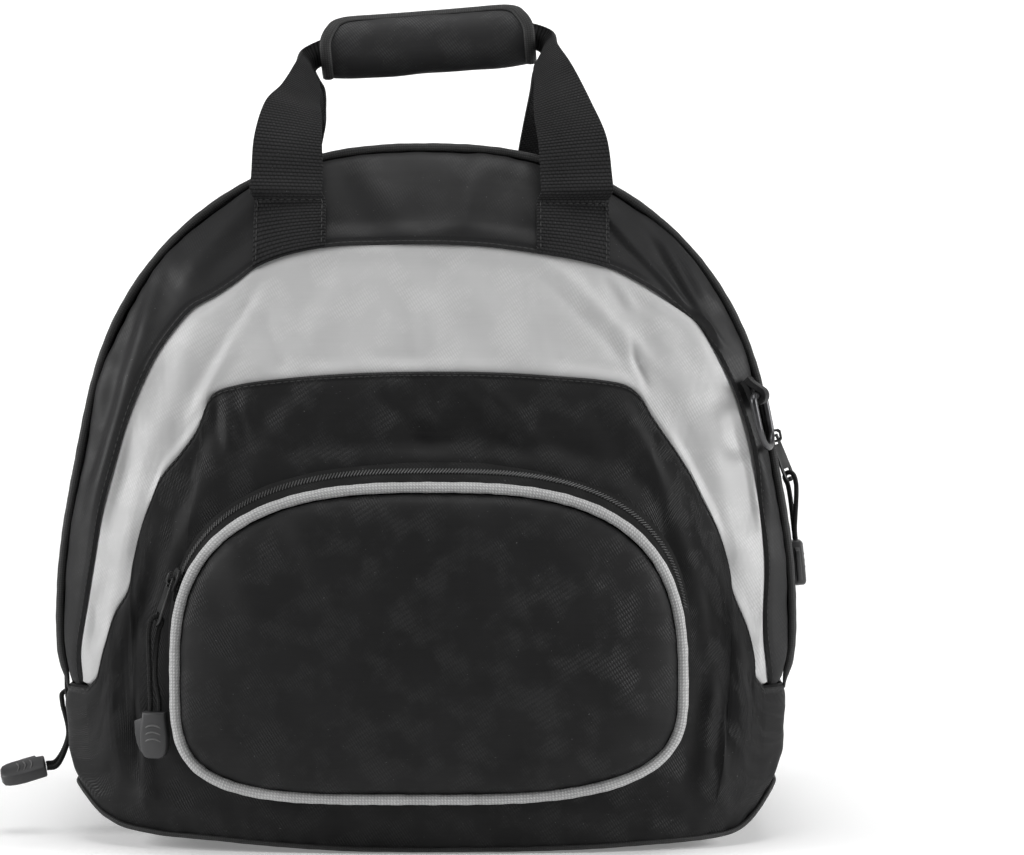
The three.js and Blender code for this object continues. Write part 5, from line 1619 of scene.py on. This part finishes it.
def bent_ring(name):
    bpy.ops.object.select_all(action="DESELECT")
    bpy.ops.mesh.primitive_circle_add(vertices=14, radius=RING["wire"] * MM,
                                      location=(0, -RING["half"] * MM, RING["bow"] * MM))
    ring = bpy.context.object
    ring.name = name
    only(ring)
    bpy.ops.object.transform_apply(location=True)
    bpy.ops.object.mode_set(mode="EDIT")
    bpy.ops.mesh.select_all(action="SELECT")
    bpy.ops.mesh.spin(steps=24, angle=-math.pi, center=(0, 0, RING["bow"] * MM), axis=(1, 0, 0))
    leg = (-RING["corner"] - RING["bow"]) * MM
    bpy.ops.mesh.extrude_region_move(TRANSFORM_OT_translate={"value": (0, 0, leg)})
    corner_y = (RING["half"] - RING["corner"]) * MM
    corner_z = -RING["corner"] * MM
    bpy.ops.mesh.spin(steps=8, angle=-math.pi / 2, center=(0, corner_y, corner_z), axis=(1, 0, 0))
    bpy.ops.mesh.extrude_region_move(TRANSFORM_OT_translate={"value": (0, -2 * corner_y, 0)})
    bpy.ops.mesh.spin(steps=8, angle=-math.pi / 2, center=(0, -corner_y, corner_z), axis=(1, 0, 0))
    bpy.ops.mesh.extrude_region_move(TRANSFORM_OT_translate={"value": (0, 0, -leg)})
    bpy.ops.mesh.select_all(action="SELECT")
    bpy.ops.mesh.remove_doubles(threshold=0.05 * MM)
    bpy.ops.mesh.normals_make_consistent(inside=False)
    bpy.ops.object.mode_set(mode="OBJECT")
    return ring


def hanger(ring_side):
    """Frame of a ring: X away from the bag, Y along the ring's bar."""
    place, turn = RING_PLACES[ring_side]
    return Matrix.Translation(Vector(place) * MM) @ Matrix.Rotation(math.radians(turn), 4, "Z")


for ring_side in RING_PLACES:
    ring = bent_ring("strap_ring_" + ring_side)
    ring.data.transform(hanger(ring_side) @ Matrix.Rotation(-math.radians(RING["lean"]), 4, "Y"))
    dress(ring, dark_steel, "dark_steel", "d_ring_" + ring_side, body="d_ring_" + ring_side)
    made = np.array([v.co[:] for v in ring.data.vertices])
    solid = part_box("d_ring_" + ring_side)
    print(ring_side, "ring", made.min(0).round(4), made.max(0).round(4), "solid", [tuple(c) for c in solid])

# %% Folded tabs
TAB = dict(loop=4.4, hole=2.4, tail_x=-6.8, tail_z=8.2, width=9, shift=0.5, thick=3.0, round=1.1)
TAB_BEND = (0.36, 1.64)
TAB_LAYERS = ((1, 1.25), (0.72, 1.3))
TAB_GRID = (70, 11)


def folded_tab(ring_side):
    """A strip that passes round the ring's bar and back up into the seam."""
    slope = math.atan2(TAB["tail_z"], TAB["tail_x"])
    middle = (TAB["loop"] + TAB["hole"]) / 2
    bend = slope + np.linspace(*TAB_BEND, 9) * math.pi
    along = np.array([math.cos(slope), math.sin(slope)]) * np.hypot(TAB["tail_x"], TAB["tail_z"])
    aside = unit(np.array([-along[1], along[0]]))
    layers = [along * at + aside * gap for at, gap in TAB_LAYERS]
    back_layers = [along * at - aside * gap for at, gap in TAB_LAYERS[::-1]]
    path = np.vstack([layers, np.stack([np.cos(bend), np.sin(bend)], axis=-1) * middle, back_layers])
    path = smooth_line(path, TAB_GRID[0])
    across = np.linspace(-TAB["width"] / 2, TAB["width"] / 2, TAB_GRID[1]) + TAB["shift"]
    x, y, z = (np.broadcast_to(part, TAB_GRID) for part in (path[:, :1], across, path[:, 1:]))
    grid = np.stack([x, y, z], axis=-1)
    uv = np.stack(np.meshgrid(run_along(grid, 0)[:, 0], across, indexing="ij")[::-1], axis=-1)
    piece = grid_piece("ring_tab_" + ring_side, grid, uv, inside=(0, 0, 0))
    apply_modifier(piece, "SOLIDIFY", thickness=TAB["thick"] * MM, offset=0)
    round_edges(piece, TAB["round"], segments=3)
    piece.data.transform(hanger(ring_side))
    return piece


for ring_side in RING_PLACES:
    dress(folded_tab(ring_side), black_cloth, "black_webbing", "d_ring_tab_" + ring_side)

# %% [markdown]
# ## Flat sizes of the cloth
#
# Each panel is cloth that was cut flat before it was sewn. Its flat size is measured from its own grid,
# so the numbers follow the shapes.

# %% Flat sizes of the panels
def declare_sheet(piece, grid):
    width = float(run_along(grid, 1)[:, -1].max()) * MM
    length = float(run_along(grid, 0)[-1].max()) * MM
    sides = np.cross(np.diff(grid, axis=0)[:, :-1], np.diff(grid, axis=1)[:-1])
    area = float(np.linalg.norm(sides, axis=-1).sum()) * MM * MM
    area = min(width * length, max(0.3 * width * length, area))
    print(piece.name, "cut", round(width, 3), "by", round(length, 3), "area", round(area, 4))


declare_sheet(grey_panel, grey_grid)
declare_sheet(upper_panel, upper_grid)
declare_sheet(lower_panel, lower_grid)
declare_sheet(back_panel, back_grid)
declare_sheet(bpy.data.objects["gusset_front"], front_strip)
declare_sheet(bpy.data.objects["gusset_rear"], rear_strip)
declare_sheet(base_cloth, floor_grid)
declare_sheet(pocket_wall, wall_grid)

# %% [markdown]
# ## Studio
#
# A pale floor curves up into a pale wall, so no edge shows behind the bag. Soft lights at either side
# graze the cloth, so that its folds show and the middle of the front stays dark. One more light is for the
# handle and another for the wall, and a dim world keeps the shadows open.

# %% Floor and backdrop
FLOOR_GLOW = 0.2
STAGE = dict(front=-8000, bend_from=5000, bend=2000, top=8000, half=9000)
floor_finish, tree, shader = blank_finish("pale floor")
cloud = put(tree, "TexNoise", put(tree, "TexCoord", out=3), None, 3.0, 3.0)
tree.links.new(tint(tree, cloud, grey(0.86), grey(0.9)), shader.inputs["Base Color"])
shader.inputs["Roughness"].default_value = 0.9
shader.inputs["Emission Color"].default_value = (1, 1, 1, 1)
shader.inputs["Emission Strength"].default_value = FLOOR_GLOW

bend = np.linspace(0, math.pi / 2, 16)
curve = [(STAGE["bend_from"] + STAGE["bend"] * math.sin(a), STAGE["bend"] * (1 - math.cos(a))) for a in bend]
profile = [(STAGE["front"], 0)] + curve + [(STAGE["bend_from"] + STAGE["bend"], STAGE["top"])]
sweep = np.array([[(x, y, z) for x in (-STAGE["half"], 0, STAGE["half"])] for y, z in profile], float)
behind_wall = (0, STAGE["half"], -STAGE["bend_from"])
backdrop = grid_piece("backdrop", sweep, np.zeros((*sweep.shape[:2], 2)), inside=behind_wall)
backdrop.data.materials.append(floor_finish)
only(backdrop)
bpy.ops.object.shade_smooth()

# %% Lights
def soft_light(name, place, size, power, target=(0, 0, 0.2)):
    bpy.ops.object.light_add(type="AREA", location=place)
    light = bpy.context.object
    light.name = name
    light.data.size = size
    light.data.energy = power
    aim = Vector(target) - Vector(place)
    light.rotation_euler = aim.to_track_quat("-Z", "Y").to_euler()


soft_light("left", (-2.4, -0.6, 1.1), 1.1, 52)
soft_light("right", (2.4, -0.6, 1.0), 1.1, 50)
soft_light("top", (0.1, -0.2, 2.2), 1.3, 24)
soft_light("wall", (0, 3.2, 4.5), 4.0, 260, (0, 7, 2))
WORLD_LIGHT = 0.12
world = bpy.data.worlds.new("studio")
world.use_nodes = True
background = world.node_tree.nodes["Background"]
background.inputs["Color"].default_value = (1, 1, 1, 1)
background.inputs["Strength"].default_value = WORLD_LIGHT
scene.world = world
scene.view_settings.view_transform = "Standard"
